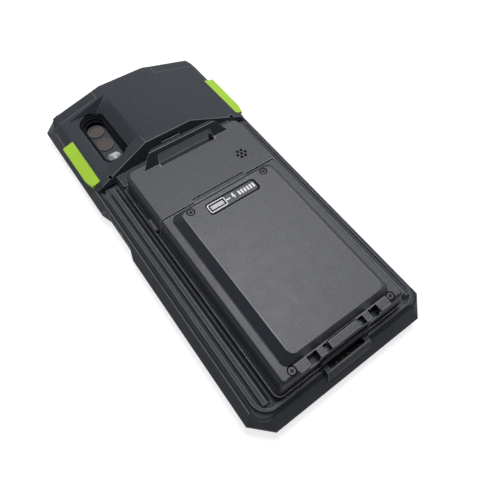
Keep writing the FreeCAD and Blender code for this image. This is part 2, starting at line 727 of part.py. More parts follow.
def make_upper_housing():
    low = Outline(both(shell.foot_half_width), (shell.split, shell.end),
                  [None, None, shell.corner, shell.corner], "round")
    high = Outline(both(shell.top_half_width), (shell.split, shell.end_top), low.corners, "round")
    body = rounded_box(low, shell.bottom, high, shell.top, shell.edge)
    rooted = shell.top - shell.bar_root
    near, far = [
        flip([(foot, rooted), (foot, shell.top), (top, shell.bar_top)])
        + [(foot, rooted), (foot, shell.top), (top, shell.bar_top)]
        for foot, top in ((shell.bar_near_foot, shell.bar_near_top), (shell.bar_far_foot, shell.bar_far_top))
    ]
    side = [
        (shell.bar_front_foot, rooted), (shell.bar_front_foot, shell.top),
        (shell.bar_front, shell.bar_top), (shell.bar_back, shell.bar_top),
        (shell.bar_back_foot, shell.top), (shell.bar_back_foot, rooted),
    ]
    bar = shared(
        wedge("XZ", near, shell.bar_near, far, shell.bar_far),
        prism("YZ", side, *both(shell.bar_near_foot)),
    )
    rear_skin = shell.end - shell.wall
    inside = both(shell.top_half_width - shell.wall)
    cavity = [
        box(inside, (shell.split + shell.wall, shell.shelf), (shell.bottom - 1, shell.top - shell.wall)),
        box(inside, (shell.shelf - 1, rear_skin), (shell.bottom - 1, shell.gap_floor - shell.floor_skin)),
    ]
    for side in (-1, 1):
        limits = on_side(side, shell.gap_half_width + shell.wall, shell.top_half_width - shell.wall)
        cavity.append(box(limits, (shell.shelf - 1, rear_skin), (shell.bottom - 1, shell.top - shell.wall)))
    half_gap = [(shell.gap_half_width, shell.gap_floor), (shell.gap_half_width, shell.top),
                (shell.gap_top_half, shell.gap_roof)]
    gap = prism("XZ", half_gap + flip(half_gap), shell.gap_low, shell.gap_back)
    bosses = [
        rod("Z", (x, y, base.top), frame_screw.boss_radius, frame_screw.boss_top - base.top)
        for x, y in frame_screw_places("upper")
    ]
    ears = [
        rod("X", (x, hinge.y, hinge.z), hinge.barrel_radius, hinge.ear_outer - hinge.ear_inner)
        for x in (-hinge.ear_outer, hinge.ear_inner)
    ]
    screw_holes = [
        rod("Z", (x, y, base.top - 1), frame_screw.shank_radius + frame_screw.hole_gap, frame_screw.length)
        for x, y in frame_screw_places("upper")
    ]
    groove = rod("X", (-hinge.groove_half_width, hinge.y, hinge.z), hinge.groove_radius,
                 2 * hinge.groove_half_width)
    pin_hole = rod("X", (-hinge.pin_half_length, hinge.y, hinge.z),
                   hinge.pin_radius + hinge.press_gap, 2 * hinge.pin_half_length)
    slot = box((lock.tab_inner - 1, lock.tab_outer + 1), (lock.slot_low, lock.slot_high),
               (lock.slot_bottom, lock.slot_top))
    holes = speaker_holes((shell.top - shell.wall - 1), shell.top + 1)
    hollow = cut(joined(body, bar), gap, *cavity)
    full = joined(hollow, *bosses, *ears)
    node("upper_housing", cut(full, groove, pin_hole, slot, mirrored(slot), *holes, *screw_holes))


def speaker_holes(low, high):
    """Seven round holes: one with six round it."""
    across, half = shell.speaker_pitch * math.cos(math.pi / 6), shell.speaker_pitch / 2
    offsets = [(0, 0), (shell.speaker_pitch, 0), (-shell.speaker_pitch, 0)]
    offsets += [(x, y) for x in (half, -half) for y in (across, -across)]
    return [
        rod("Z", (shell.speaker_x + x, shell.speaker_y + y, low), shell.speaker_hole, high - low)
        for x, y in offsets
    ]


def make_hinge_pin():
    node("battery_hinge_pin", rod(
        "X", (-hinge.pin_half_length, hinge.y, hinge.z), hinge.pin_radius, 2 * hinge.pin_half_length
    ))


def make_frame_screws():
    for name, part in (("module_screws", "upper"), ("head_screws", "head")):
        node(name, group(*[
            cross_screw(x, y, frame_screw.bottom, -1, frame_screw) for x, y in frame_screw_places(part)
        ]))


def make_locks():
    length = (lock.tab_low, lock.tab_high)
    tab = box((lock.tab_inner, lock.tab_outer), length, (lock.tab_bottom, lock.tab_top))
    body = box((lock.body_inner, lock.tab_inner), length, (lock.body_bottom, lock.body_top))
    bolt = box((lock.bolt_inner, lock.tab_inner), length, (lock.bolt_bottom, lock.body_bottom))
    right = joined(tab, body, bolt)
    node("right_lock", right)
    node("left_lock", mirrored(right))
    node("lock_detents", pair(box(
        (lock.detent_inner, lock.detent_outer), (lock.detent_low, lock.detent_high),
        (base.top, lock.detent_top),
    )))


# Boards in the module

def make_boards():
    sheet_board = box(both(board.half_width), (board.low, board.high), (board.bottom, board.top))
    holes = [
        rod("Z", (x, y, board.bottom - 1), frame_screw.boss_radius + 2 * frame_screw.hole_gap, fit.past)
        for x, y in frame_screw_places("front")
    ]
    node("main_board", cut(sheet_board, *holes))
    across, along = (board.shield_left, board.shield_right), (board.shield_low, board.shield_high)
    node("radio_shield", cut(
        box(across, along, (board.top, board.shield_top)),
        box(wider(across, -board.shield_wall), wider(along, -board.shield_wall),
            (board.top - 1, board.shield_top - board.shield_wall)),
    ))
    node("board_chips", group(*[
        box((x - half_x, x + half_x), (y - half_y, y + half_y), (board.top, board.chip_top))
        for x, y, half_x, half_y in (
            (board.processor_x, board.processor_y, board.processor_half, board.processor_half),
            (board.memory_x, board.memory_y, board.memory_half, board.memory_half),
            (board.radio_x, board.radio_y, board.radio_half_width, board.radio_half_length),
        )
    ]))
    centre = (shell.speaker_x, shell.speaker_y)
    node("speaker", rod("Z", (*centre, board.speaker_bottom), board.speaker_radius,
                        board.mesh_bottom - board.speaker_bottom))
    node("speaker_mesh", rod("Z", (*centre, board.mesh_bottom), board.mesh_radius,
                             shell.top - shell.wall - board.mesh_bottom))
    node("vibration_motor", rod("Y", (board.motor_x, board.motor_low, board.motor_z), board.motor_radius,
                                board.motor_high - board.motor_low))
    y = (cells.contact_y - cells.spring_half, cells.contact_y + cells.spring_half)
    node("base_contacts", group(*[
        box((x - cells.spring_half, x + cells.spring_half), y, (base.top, cells.spring_top))
        for x in row_of(4, cells.contact_pitch)
    ]))


# Head

def head_section(flat, side):
    half = [(head.flat_half_width, flat), (head.side, side), (head.edge, head.edge_top),
            (head.edge, head.bottom)]
    return flip(half) + half


def cavity_section(flat, side, foot):
    """The hollow under the head's skin, lower on the camera's side."""
    right = [
        (head.flat_half_width, flat - head.skin), (head.cavity_side, side), (head.cavity_side, head.floor),
    ]
    left = [
        (-head.cavity_side, head.floor), (-head.cavity_side, side),
        (-recess.skin_foot, foot - recess.skin_drop), (-head.flat_half_width, flat - head.skin),
    ]
    return left + right


def end_line(lean, top, z):
    """Where the sloping end face is at height z."""
    return head.end_y - lean * (size(z) - top)


def beyond_end(lean, top):
    return [
        (end_line(lean, top, head.floor), head.floor), (head.beyond, head.floor),
        (head.beyond, head.ceiling), (end_line(lean, top, head.ceiling), head.ceiling),
    ]


def before_wall(shift):
    """The space in front of the head's leaning wall, which faces the strap bar."""
    def wall(z):
        return head.wall_y - head.lean * (head.wall_z - z) - shift

    start = head.trough_low
    return [
        (start, head.floor), (wall(head.floor), head.floor),
        (wall(head.ceiling), head.ceiling), (start, head.ceiling),
    ]


def head_form():
    """The head's outer shape, before anything is taken out of it."""
    loft_body = wedge("XZ", head_section(head.near_flat, head.near_side), head.near,
                      head_section(head.far_flat, head.far_side), head.far)
    rounded_plan = plate(
        both(head.edge), (head.skirt, head.corner_high), (head.floor, head.ceiling),
        [head.skirt_corner, head.skirt_corner, head.corner, head.corner],
    )
    side_top = head.end_z - head.side_fall * (head.reach - head.flat_half_width)
    end_side = wedge("YZ", beyond_end(head.side_lean, head.end_z), head.flat_half_width,
                     beyond_end(head.side_lean, side_top), head.reach)
    wall_side = wedge("YZ", before_wall(0), head.flat_half_width,
                      before_wall(head.wall_shift), head.reach)
    return cut(
        shared(loft_body, rounded_plan),
        prism("YZ", beyond_end(head.end_lean, head.end_z), *both(head.reach)),
        end_side, mirrored(end_side),
        prism("YZ", before_wall(0), *both(head.flat_half_width)),
        wall_side, mirrored(wall_side),
    )


def camera_recess():
    """The hollow round the camera opening: a steep facet beside the flat, and a level floor."""
    def section(flat, foot, outer):
        return [
            (-recess.flat, flat), (-recess.foot, foot), (-recess.outer, outer),
            (-recess.outer, head.ceiling), (-recess.flat, head.ceiling),
        ]

    form = wedge("XZ", section(head.near_flat, recess.near_foot, recess.near_outer), head.near,
                 section(head.far_flat, recess.far_foot, recess.far_outer), head.far)

    def plan(low_fall, high_fall):
        near, far = -recess.flat + 1, -recess.outer - 1
        return [
            (near, recess.low_inner + low_fall), (near, recess.high_inner - high_fall),
            (far, recess.high_outer - high_fall), (far, recess.low_outer + low_fall),
        ]

    mask = wedge("XY", plan(recess.low_fall, recess.high_fall), recess.low_z,
                 plan(size(0), size(0)), head.ceiling)
    return shared(form, mask)


def pill(grow, step, z):
    """The camera opening's rounded outline, grown or drawn in by a few steps, between two heights."""
    side = grow - camera.side_step * step
    return plate(
        (camera.left - side, camera.right + side),
        (camera.low - grow + camera.low_step * step, camera.high + grow - camera.top_step * step),
        z, camera.radius + side,
    )


def trigger_plan(grow, travel):
    """A trigger's outline from above, with its lower end slanted."""
    inner = trigger.inner - travel - grow
    return [
        (inner, trigger.low - grow), (trigger.shoulder_x, trigger.low - grow),
        (trigger.outer + grow, trigger.tip - grow), (trigger.outer + grow, trigger.high + grow),
        (inner, trigger.high + grow),
    ]


def make_head():
    form = head_form()
    cavity = wedge(
        "XZ", cavity_section(head.near_flat, head.cavity_near, recess.near_foot), head.cavity_low,
        cavity_section(head.far_flat, head.cavity_far, recess.far_foot), head.cavity_high,
    )
    end_box = box(
        both(window.bezel_half_width), (window.bezel_back, head.beyond), (head.floor, window.bezel_top)
    )
    ear = box(
        (window.bezel_half_width, head.reach), (window.bezel_low, head.beyond), (head.floor, head.ceiling)
    )
    bezel_space = joined(end_box, ear, mirrored(ear))
    seats = [
        box(both(case.back_half_width + fit.gap), (head.near - 1, case.back_high + fit.gap),
            (head.floor, case.back)),
        box(both(base.half_width + fit.gap), (head.near - 1, base.tongue_high + fit.gap),
            (head.floor, base.top)),
        box((base.flex_low, base.flex_high), (head.trough_low - 1, head.cavity_low + 1),
            (base.top, base.flex_top)),
    ]
    opening = pill(camera.wall, 0, (head.floor, head.ceiling))
    slot = prism("XY", trigger_plan(trigger.gap, trigger.travel), head.floor, trigger.slot_top)
    top_slot = shared(
        prism("XY", trigger_plan(trigger.gap, 0), trigger.slot_top - 1, head.ceiling),
        box((trigger.skin_x - trigger.gap, head.reach), (head.near, head.far), (head.floor, head.ceiling)),
    )
    stem_way = wider((trigger.stem_low, trigger.stem_high), trigger.gap)
    through = box((trigger.slot_inner, trigger.inner + 1), stem_way, (head.floor, trigger.slot_top))
    springs = [
        box((trigger.spring_x, trigger.inner + 1), (y - trigger.rib_half, y + trigger.rib_half),
            (head.floor, trigger.slot_top))
        for y in (trigger.spring_low, trigger.spring_high)
    ]
    pinhole = box(
        (head.pinhole_x - head.pinhole_half_width, head.pinhole_x + head.pinhole_half_width),
        (head.pinhole_y - head.pinhole_half_height, head.pinhole_y + head.pinhole_half_height),
        (head.pinhole_floor, head.ceiling),
    )
    slit = box(both(head.slit_half_width), (head.trough_low, head.slit_end),
               (head.slit_low, head.slit_high))
    trough = box(both(head.trough_half_width), (head.trough_low, head.trough_high),
                 (head.trough_bottom, head.trough_top))
    ribs = [
        box(on_side(side, trigger.rib_inner, trigger.spring_x),
            (y - trigger.rib_half, y + trigger.rib_half), (case.back + fit.gap, trigger.rib_top))
        for y in (trigger.spring_low, trigger.spring_high) for side in (-1, 1)
    ]
    bosses = [
        rod("Z", (x, y, base.top), frame_screw.boss_radius, head.boss_top - base.top)
        for x, y in frame_screw_places("head")
    ]
    screw_holes = [
        rod("Z", (x, y, base.top - 1), frame_screw.shank_radius + frame_screw.hole_gap, frame_screw.length)
        for x, y in frame_screw_places("head")
    ]
    sides = [
        tool for solid in (slot, top_slot, through, pinhole, *springs) for tool in (solid, mirrored(solid))
    ]
    skin = cut(form, cavity, bezel_space)
    inside = shared(joined(*ribs, *bosses), form)
    solid = joined(skin, trough, inside)
    node("head_housing", cut(solid, camera_recess(), opening, slit, *seats, *sides, *screw_holes))

    def slab(front, thickness, grow):
        """A slab parallel to the end face, front millimetres inside it."""
        low, high = window.low - grow, window.high + grow
        lines = [(end_line(head.end_lean, head.end_z, z) - front, z) for z in (low, high)]
        back = [(y - thickness, z) for y, z in reversed(lines)]
        return prism("YZ", lines + back, *both(window.half_width + grow))

    aperture = box(both(window.half_width - window.lip), (head.cavity_high - 2, head.beyond),
                   (window.low + window.lip, window.high - window.lip))
    seat_depth = window.glass + window.gasket + window.recess + 2
    pocket = slab(size(-2), seat_depth, fit.close)
    node("scan_bezel", cut(shared(form, bezel_space), cavity, *seats[:2], aperture, pocket))
    node("scan_window", slab(window.recess, window.glass, size(0)))
    node("window_gasket", cut(slab(window.recess + window.glass, window.gasket, size(0)), aperture))


def make_camera_ring():
    """The stepped insert that lines the camera opening."""
    top = recess.near_foot + camera.first_riser
    outer = shared(
        pill(camera.wall - fit.close, 0, (case.back, head.ceiling)),
        wedge("XZ", ring_section(recess.near_foot, recess.near_outer), head.near,
              ring_section(recess.far_foot, recess.far_outer), head.far),
    )
    steps = []
    levels = [head.ceiling, *[top - camera.riser * (step + 1) for step in range(3)], case.back - 1]
    for step, (ceiling, floor) in enumerate(zip(levels, levels[1:])):
        steps.append(pill(size(0), step, (floor, ceiling)))
    node("camera_ring", cut(outer, *steps))


def ring_section(foot, outer):
    return [
        (-recess.outer, head.floor), (-recess.flat, head.floor), (-recess.flat, foot),
        (-recess.foot, foot), (-recess.outer, outer),
    ]


def make_scan_engine():
    node("scan_engine", box(both(engine.half_width), (engine.low, engine.high), (engine.bottom, engine.top)))
    floor = box(
        both(engine.bracket_half_width), (engine.bracket_low, engine.high), (base.top, engine.bottom)
    )
    walls = [
        box(limits, (engine.bracket_low, engine.high), (base.top, engine.bracket_top))
        for limits in ((-engine.bracket_half_width, -engine.bracket_inner),
                       (engine.bracket_inner, engine.bracket_half_width))
    ]
    node("engine_bracket", joined(floor, *walls))
    node("engine_lens", rod("Y", (engine.lens_x, engine.high, engine.lens_z), engine.lens_radius,
                            engine.lens_front - engine.high))
    node("aimer_lens", rod("Y", (engine.aimer_x, engine.high, engine.lens_z), engine.aimer_radius,
                           engine.lens_front - engine.high))
    node("illumination_leds", group(*[
        box((x - engine.led_half, x + engine.led_half), (engine.high, engine.led_front),
            (engine.lens_z - engine.led_half, engine.lens_z + engine.led_half))
        for x in (-engine.led_x, engine.led_x)
    ]))
    # under the board, down to the base, along it, and up to the back of the engine
    line = [
        (engine.flex_end, engine.flex_board), (engine.flex_down, engine.flex_board),
        (engine.flex_flat, engine.flex_low), (engine.flex_rise, engine.flex_low),
        (engine.flex_back, engine.flex_plug), (engine.low, engine.flex_plug),
    ]
    under = [(y, z - engine.flex_thickness) for y, z in line]
    node("engine_flex", prism("YZ", under + line[::-1], engine.flex_left, engine.flex_right))


# Triggers

def make_triggers():
    profile = [
        (trigger.inner, trigger.lift), (trigger.ledge_x, trigger.lift), (trigger.ledge_x, trigger.bottom),
        (trigger.foot_x, trigger.bottom), (trigger.outer, trigger.outer_foot),
        (trigger.brow_x, trigger.outer_top), (trigger.skin_x, trigger.inner_top),
        (trigger.inner, trigger.inner_top),
    ]
    bar = shared(prism("XZ", profile, trigger.low - 1, trigger.high + 1),
                 prism("XY", trigger_plan(size(0), 0), trigger.bottom - 1, trigger.inner_top + 1))
    stem = box((trigger.stem_end, trigger.inner + fit.bond), (trigger.stem_low, trigger.stem_high),
               (trigger.lift, trigger.stem_top))
    right = joined(bar, stem)
    node("right_trigger", right)
    node("left_trigger", mirrored(right))
    springs = group(*[
        coil("X", (trigger.spring_x, y, trigger.spring_z), trigger.spring_radius, trigger.spring_wire,
             trigger.inner - trigger.spring_x, turns=5)
        for y in (trigger.spring_low, trigger.spring_high)
    ])
    node("right_trigger_springs", springs)
    node("left_trigger_springs", mirrored(springs))
    middle = (trigger.switch_low + trigger.switch_high) / 2
    switch = joined(
        box((trigger.switch_inner, trigger.switch_outer), (trigger.switch_low, trigger.switch_high),
            (case.back, trigger.switch_top)),
        box((trigger.switch_outer - fit.bond, trigger.button),
            (middle - trigger.button_half, middle + trigger.button_half), (trigger.lift, trigger.stem_top)),
    )
    node("trigger_switches", pair(switch))


# Battery pack

def pack_screw_places():
    rows = (
        (pack_screw.upper_x, pack_screw.upper_y, pack_screw.upper_top),
        (pack_screw.lower_x, pack_screw.lower_y, pack_screw.lower_top),
    )
    return [(side * x, y, top) for x, y, top in rows for side in (-1, 1)]


def pack_outline(half_width, low, inset):
    corner = pack.corner - inset / 2
    return Outline(
        both(half_width - inset), (low + inset, pack.high - inset), [corner, corner, None, None], "round"
    )


def make_battery_tray():
    flange_line = pack_outline(shell.foot_half_width, pack.low, size(0))
    flange = plate(flange_line.x, flange_line.y, (pack.bottom, pack.split), flange_line.corners)
    pan = plate(
        both(pack.pan_half_width), (pack.pan_low, pack.pan_high), (pack.pan_bottom, pack.bottom),
        base.rim_radius,
    )
    hollow = plate(
        both(pack.pan_half_width - pack.pan_wall), (pack.room_low, pack.pan_high - pack.pan_wall),
        (pack.pan_floor, pack.split + 1), base.rim_radius / 2,
    )
    posts = [
        rod("Z", (x, y, pack.pan_floor - fit.bond), pack.post_radius,
            pack.post_split - pack.pan_floor + fit.bond)
        for x, y, top in pack_screw_places()[:2]
    ]
    radius = pack_screw.shank_radius + pack.hole_gap
    holes = [
        rod("Z", (x, y, top - pack_screw.length - 1), radius, pack_screw.length)
        for x, y, top in pack_screw_places()
    ]
    node("battery_tray", cut(joined(cut(joined(flange, pan), hollow), *posts), *holes, *contact_blocks()))


def contact_blocks():
    half = cells.contact_half
    return [
        box((x - half, x + half), (cells.contact_y - half, cells.contact_y + half),
            (pack.pan_bottom - fit.close, cells.contact_top))
        for x in row_of(4, cells.contact_pitch)
    ]


def crown(inset, low_drop):
    """The raised plateau on the pack's cover."""
    foot = Outline(both(pack.foot_half_width - inset), (pack.foot_low + inset, pack.foot_high - inset),
                   pack.foot_corner - inset / 2, "round")
    top = Outline(both(pack.crown_half_width - inset), (pack.crown_low + inset, pack.crown_high - inset),
                  pack.crown_corner - inset / 2, "round")
    step = plate(foot.x, foot.y, (pack.top - low_drop, pack.foot_top - inset), foot.corners)
    return joined(step, taper(foot, pack.foot_top - inset, top, pack.crown_top - inset))


def make_battery_cover():
    low = pack_outline(shell.foot_half_width, pack.low, size(0))
    high = pack_outline(shell.top_half_width, pack.top_low, size(0))
    body = rounded_box(low, pack.split, high, pack.top, pack.edge)
    inner = pack_outline(shell.top_half_width, pack.top_low, pack.wall)
    room = plate(inner.x, inner.y, (pack.split - 1, pack.top - pack.wall), inner.corners)
    room_above = crown(pack.wall, pack.crown_root)
    rib_top = pack.crown_top - pack.wall / 2
    posts = [
        rod("Z", (x, y, low), radius, top - low - fit.bond)
        for (x, y, top), (low, radius) in zip(pack_screw_places(), (
            (pack.post_split, pack.post_radius), (pack.post_split, pack.post_radius),
            (pack.split, pack_screw.sink_radius), (pack.split, pack_screw.sink_radius),
        ))
    ]
    posts += [
        rod("Z", (x, cells.post_y, cells.board_top), cells.post_radius, rib_top - cells.board_top)
        for x in both(cells.post_x)
    ]
    holes, sinks = [], []
    for x, y, top in pack_screw_places():
        radius = pack_screw.shank_radius + pack.hole_gap
        holes.append(rod("Z", (x, y, pack.bottom), radius, top - pack.bottom))
        sinks.append(rod("Z", (x, y, top - pack_screw.head_height), pack_screw.sink_radius, fit.past))
    barrel = rod("X", (-hinge.barrel_half_width, hinge.y, hinge.z), hinge.barrel_radius,
                 2 * hinge.barrel_half_width)
    web = box(both(hinge.barrel_half_width), (pack.high - 1, hinge.y), (hinge.web_low, hinge.web_high))
    bore = rod("X", (-hinge.barrel_half_width - 1, hinge.y, hinge.z),
               hinge.pin_radius + hinge.running_gap, 2 * hinge.barrel_half_width + 2)
    recess_cut = plate((label.left, label.right), (label.low, label.high),
                       (pack.crown_top - label.depth, pack.crown_top + 1), label.corner)
    window_hole = box((label.window_left, label.window_right), (label.window_low, label.window_high),
                      (pack.crown_top - fit.past, pack.crown_top + 1))
    ribs = [
        box((x - latch.rib_half, x + latch.rib_half), (latch.spring_back, latch.rib_back),
            (latch.body_bottom, rib_top))
        for x in both(latch.spring_x)
    ]
    pads = [
        box(on_side(side, inner, outer), (latch.pad_front, latch.pad_back),
            (pack.top - latch.pad_root, latch.pad_top))
        for inner, outer in ((latch.pad_inner, latch.pad_outer), (latch.hole_outer, latch.notch_inner))
        for side in (-1, 1)
    ]
    seal = latch_room()
    pocket = [
        box(both(latch.half_width + latch.slack), (latch.front - latch.slack, latch.pocket_back),
            (latch.shoulder - 1, latch.pocket_roof)),
        box(both(latch.half_width + latch.slack), (latch.front - latch.slack, latch.back + fit.bond),
            (latch.shoulder - 1, pack.top + 1)),
        box(both(latch.nose_half_width + latch.slack), (pack.low - 1, pack.low + pack.wall + 1),
            (latch.nose_low - latch.slack, latch.nose_high + latch.slack)),
    ]
    for side in (-1, 1):
        pocket.append(box(on_side(side, latch.hole_inner, latch.hole_outer),
                          (latch.front, latch.back), (latch.shoulder, pack.top + 1)))
        pocket.append(box(on_side(side, latch.notch_inner, latch.notch_outer),
                          (pack.low - 1, latch.notch_back), (latch.notch_floor, pack.top + 1)))
    solid = cut(joined(body, crown(size(0), size(1))), room, room_above)
    full = joined(solid, *posts, *ribs, *pads, barrel, web, *seal)
    node("battery_cover", cut(full, *holes, *sinks, bore, recess_cut, window_hole, *pocket))
    node("charge_window", box(
        wider((label.window_left, label.window_right), -fit.close),
        wider((label.window_low, label.window_high), -fit.close),
        (label.window_bottom, pack.crown_top - label.depth + label.window_proud),
    ))


def latch_room():
    """Floors under the notches beside the latch, which keep the cover closed there."""
    return [
        box(on_side(side, latch.notch_inner, latch.notch_outer),
            (pack.low + fit.bond, latch.notch_back + 1), (latch.notch_floor - 1, latch.notch_floor + 1))
        for side in (-1, 1)
    ]


def runs_across(edge):
    """Whether an edge is parallel to the X axis."""
    return edge.BoundBox.XLength > edge.Length - edge.BoundBox.DiagonalLength * 1e-3


def make_battery_inside():
    middle = (cells.low + cells.high) / 2
    halves = ((cells.low, middle - cells.split_gap / 2), (middle + cells.split_gap / 2, cells.high))
    node("battery_cells", group(*[
        soften(plate(both(cells.half_width), limits, (cells.bottom, cells.top)), cells.corner, runs_across)
        for limits in halves
    ]))
    node("battery_board", box(both(cells.board_half_width), (cells.board_low, cells.board_high),
                              (cells.board_bottom, cells.board_top)))
    first = (label.window_left + label.window_right) / 2 - cells.led_pitch
    row = (label.window_low + label.window_high) / 2
    node("charge_leds", group(*[
        box((first + cells.led_pitch * n - cells.led_half, first + cells.led_pitch * n + cells.led_half),
            (row - cells.led_half, row + cells.led_half), (cells.board_top, cells.led_top))
        for n in range(3)
    ]))
    node("battery_contacts", group(*contact_blocks()))
    outer, inner = [
        plate(
            both(pack.gasket_outer - inset), (pack.gasket_low + inset, pack.gasket_high - inset),
            (pack.split - deeper, pack.gasket_top + deeper), pack.gasket_corner - inset,
        )
        for inset, deeper in ((size(0), 0), (pack.gasket_width, 1))
    ]
    node("battery_gasket", cut(outer, inner))
    node("battery_screws", group(*[
        cross_screw(x, y, top, 1, pack_screw) for x, y, top in pack_screw_places()
    ]))


def make_latch():
    thumb = box(both(latch.half_width), (latch.front, latch.back), (latch.shoulder, latch.top))
    body = box(
        both(latch.body_half_width), (latch.leg_front, latch.body_back), (latch.body_bottom, latch.shoulder)
    )
    width = both(latch.nose_half_width)
    leg = box(width, (latch.leg_front, latch.leg_back), (latch.nose_low, latch.body_bottom))
    nose = box(width, (latch.nose_front, latch.leg_back), (latch.nose_low, latch.nose_high))
    node("battery_latch", joined(thumb, body, leg, nose))
    node("latch_springs", group(*[
        coil("Y", (x, latch.body_back, latch.spring_z), latch.spring_radius, latch.spring_wire,
             latch.spring_back - latch.body_back, turns=6)
        for x in both(latch.spring_x)
    ]))
    node("battery_catch", joined(
        box(width, (latch.catch_outer, latch.catch_inner), (base.rim_top, latch.catch_top)),
        box(width, (latch.catch_outer, latch.catch_lip), (latch.catch_low, latch.catch_top)),
    ))


def check_and_export():
    doc.recompute()
    for item in doc.Objects:
        if "Invalid" in item.State or "Error" in item.State:
            raise RuntimeError(f"{item.Name} ({item.Label}) is {item.State}")
    for name, item in nodes.items():
        if item.Shape.isNull() or not item.Shape.isValid() or not item.Shape.Solids:
            raise RuntimeError(f"{name} has no valid solid")
    os.makedirs("parts", exist_ok=True)
    for name, item in nodes.items():
        item.Shape.exportStep(f"parts/{name}.step")
        print(f"{name}: {len(item.Shape.Solids)} solids, {item.Shape.Volume:.1f} mm3")


make_front_bezel()
make_case_shell()
make_case_liner()
make_charge_contacts()
make_phone()
make_keys()
make_module_base()
make_upper_housing()
make_hinge_pin()
make_frame_screws()
make_locks()
make_boards()
make_head()
make_camera_ring()
make_scan_engine()
make_triggers()
make_battery_tray()
make_battery_cover()
make_battery_inside()
make_latch()
check_and_export()
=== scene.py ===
import json
import math
from collections import defaultdict, namedtuple

import bmesh
import bpy
import numpy as np
from mathutils import Matrix, Vector
from mathutils.bvhtree import BVHTree
from mathutils.geometry import delaunay_2d_cdt, intersect_point_line

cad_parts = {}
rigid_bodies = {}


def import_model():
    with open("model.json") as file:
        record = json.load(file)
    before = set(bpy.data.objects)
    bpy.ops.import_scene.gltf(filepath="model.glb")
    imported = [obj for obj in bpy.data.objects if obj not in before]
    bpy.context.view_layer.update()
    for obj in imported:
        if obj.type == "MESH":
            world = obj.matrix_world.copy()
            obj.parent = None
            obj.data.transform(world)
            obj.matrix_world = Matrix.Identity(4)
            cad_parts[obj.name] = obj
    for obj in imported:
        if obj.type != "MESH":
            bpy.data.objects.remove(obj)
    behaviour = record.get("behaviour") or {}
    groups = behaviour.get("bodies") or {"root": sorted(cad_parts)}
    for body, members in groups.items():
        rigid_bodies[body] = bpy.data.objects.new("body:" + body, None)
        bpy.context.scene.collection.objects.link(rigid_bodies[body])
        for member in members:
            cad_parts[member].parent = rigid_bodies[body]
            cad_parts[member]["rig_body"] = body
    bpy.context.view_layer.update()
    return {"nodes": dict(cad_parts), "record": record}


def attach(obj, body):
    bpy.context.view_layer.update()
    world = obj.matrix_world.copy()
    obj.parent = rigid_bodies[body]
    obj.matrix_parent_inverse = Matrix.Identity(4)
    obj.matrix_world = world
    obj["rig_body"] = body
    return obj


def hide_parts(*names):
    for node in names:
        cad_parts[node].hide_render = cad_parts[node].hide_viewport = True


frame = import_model()
nodes = frame["nodes"]
MM = 0.001


# Camera, at the photograph's angle

def set_camera():
    azimuth, elevation, roll = -0.673824, 1.060840, 0.051187
    focal_pixels, image_height, sensor = 432.76, 494, 36
    target = Vector((-7.285, -32.2, 21.5)) * MM
    distance = 171.28 * MM
    back = Vector((
        math.sin(azimuth) * math.cos(elevation), -math.cos(azimuth) * math.cos(elevation),
        math.sin(elevation),
    ))
    right = Vector((math.cos(azimuth), math.sin(azimuth), 0))
    up = back.cross(right)
    rolled_right = right * math.cos(roll) + up * math.sin(roll)
    rolled_up = up * math.cos(roll) - right * math.sin(roll)
    data = bpy.data.cameras.new("camera")
    data.lens = focal_pixels / image_height * sensor
    data.sensor_width = sensor
    data.clip_start = 0.01
    camera = bpy.data.objects.new("camera", data)
    turn = Matrix((rolled_right, rolled_up, back)).transposed().to_4x4()
    camera.matrix_world = Matrix.Translation(target + back * distance) @ turn
    bpy.context.scene.collection.objects.link(camera)
    bpy.context.scene.camera = camera


# Lights and floor

AMBIENT = (0.11, 0.11, 0.12, 1)
WHITE = (1, 1, 1, 1)
FLOOR_HALF_WIDTH = 3.0
FLOOR_DROP = 0.2 * MM
FLOOR_COLOUR = (0.48, 0.48, 0.48, 1)
FLOOR_GLOW = (0.78, 0.78, 0.78, 1)


def add_lamp(name, place, size, power):
    """A rectangular lamp that points at the part."""
    data = bpy.data.lights.new(name, "AREA")
    data.shape = "RECTANGLE"
    data.size, data.size_y = size
    data.energy = power
    lamp = bpy.data.objects.new(name, data)
    lamp.location = place
    lamp.rotation_euler = (-Vector(place)).to_track_quat("-Z", "Y").to_euler()
    bpy.context.scene.collection.objects.link(lamp)


def seen_directly(tree):
    """One for the rays that show the background, nought for those that light the object."""
    path = tree.nodes.new("ShaderNodeLightPath")
    seen = path.outputs["Is Camera Ray"]
    for ray in ("Is Glossy Ray", "Is Transmission Ray"):
        either = tree.nodes.new("ShaderNodeMath")
        either.operation = "MAXIMUM"
        tree.links.new(seen, either.inputs[0])
        tree.links.new(path.outputs[ray], either.inputs[1])
        seen = either.outputs["Value"]
    return seen


def set_lights():
    add_lamp("overhead", place=(0.22, 0.27, 1.14), size=(0.45, 0.45), power=9.8)
    add_lamp("left", place=(-0.35, 0.3, 0.3), size=(0.15, 0.2), power=0.22)
    add_lamp("right", place=(0.95, 0.42, 0.3), size=(0.25, 0.4), power=0.8)
    world = bpy.data.worlds.new("studio")
    bpy.context.scene.world = world
    world.use_nodes = True
    tree = world.node_tree
    ambient = tree.nodes["Background"]
    ambient.inputs["Color"].default_value = AMBIENT
    white = tree.nodes.new("ShaderNodeBackground")
    white.inputs["Color"].default_value = WHITE
    mix = tree.nodes.new("ShaderNodeMixShader")
    tree.links.new(seen_directly(tree), mix.inputs["Fac"])
    tree.links.new(ambient.outputs["Background"], mix.inputs[1])
    tree.links.new(white.outputs["Background"], mix.inputs[2])
    tree.links.new(mix.outputs["Shader"], tree.nodes["World Output"].inputs["Surface"])


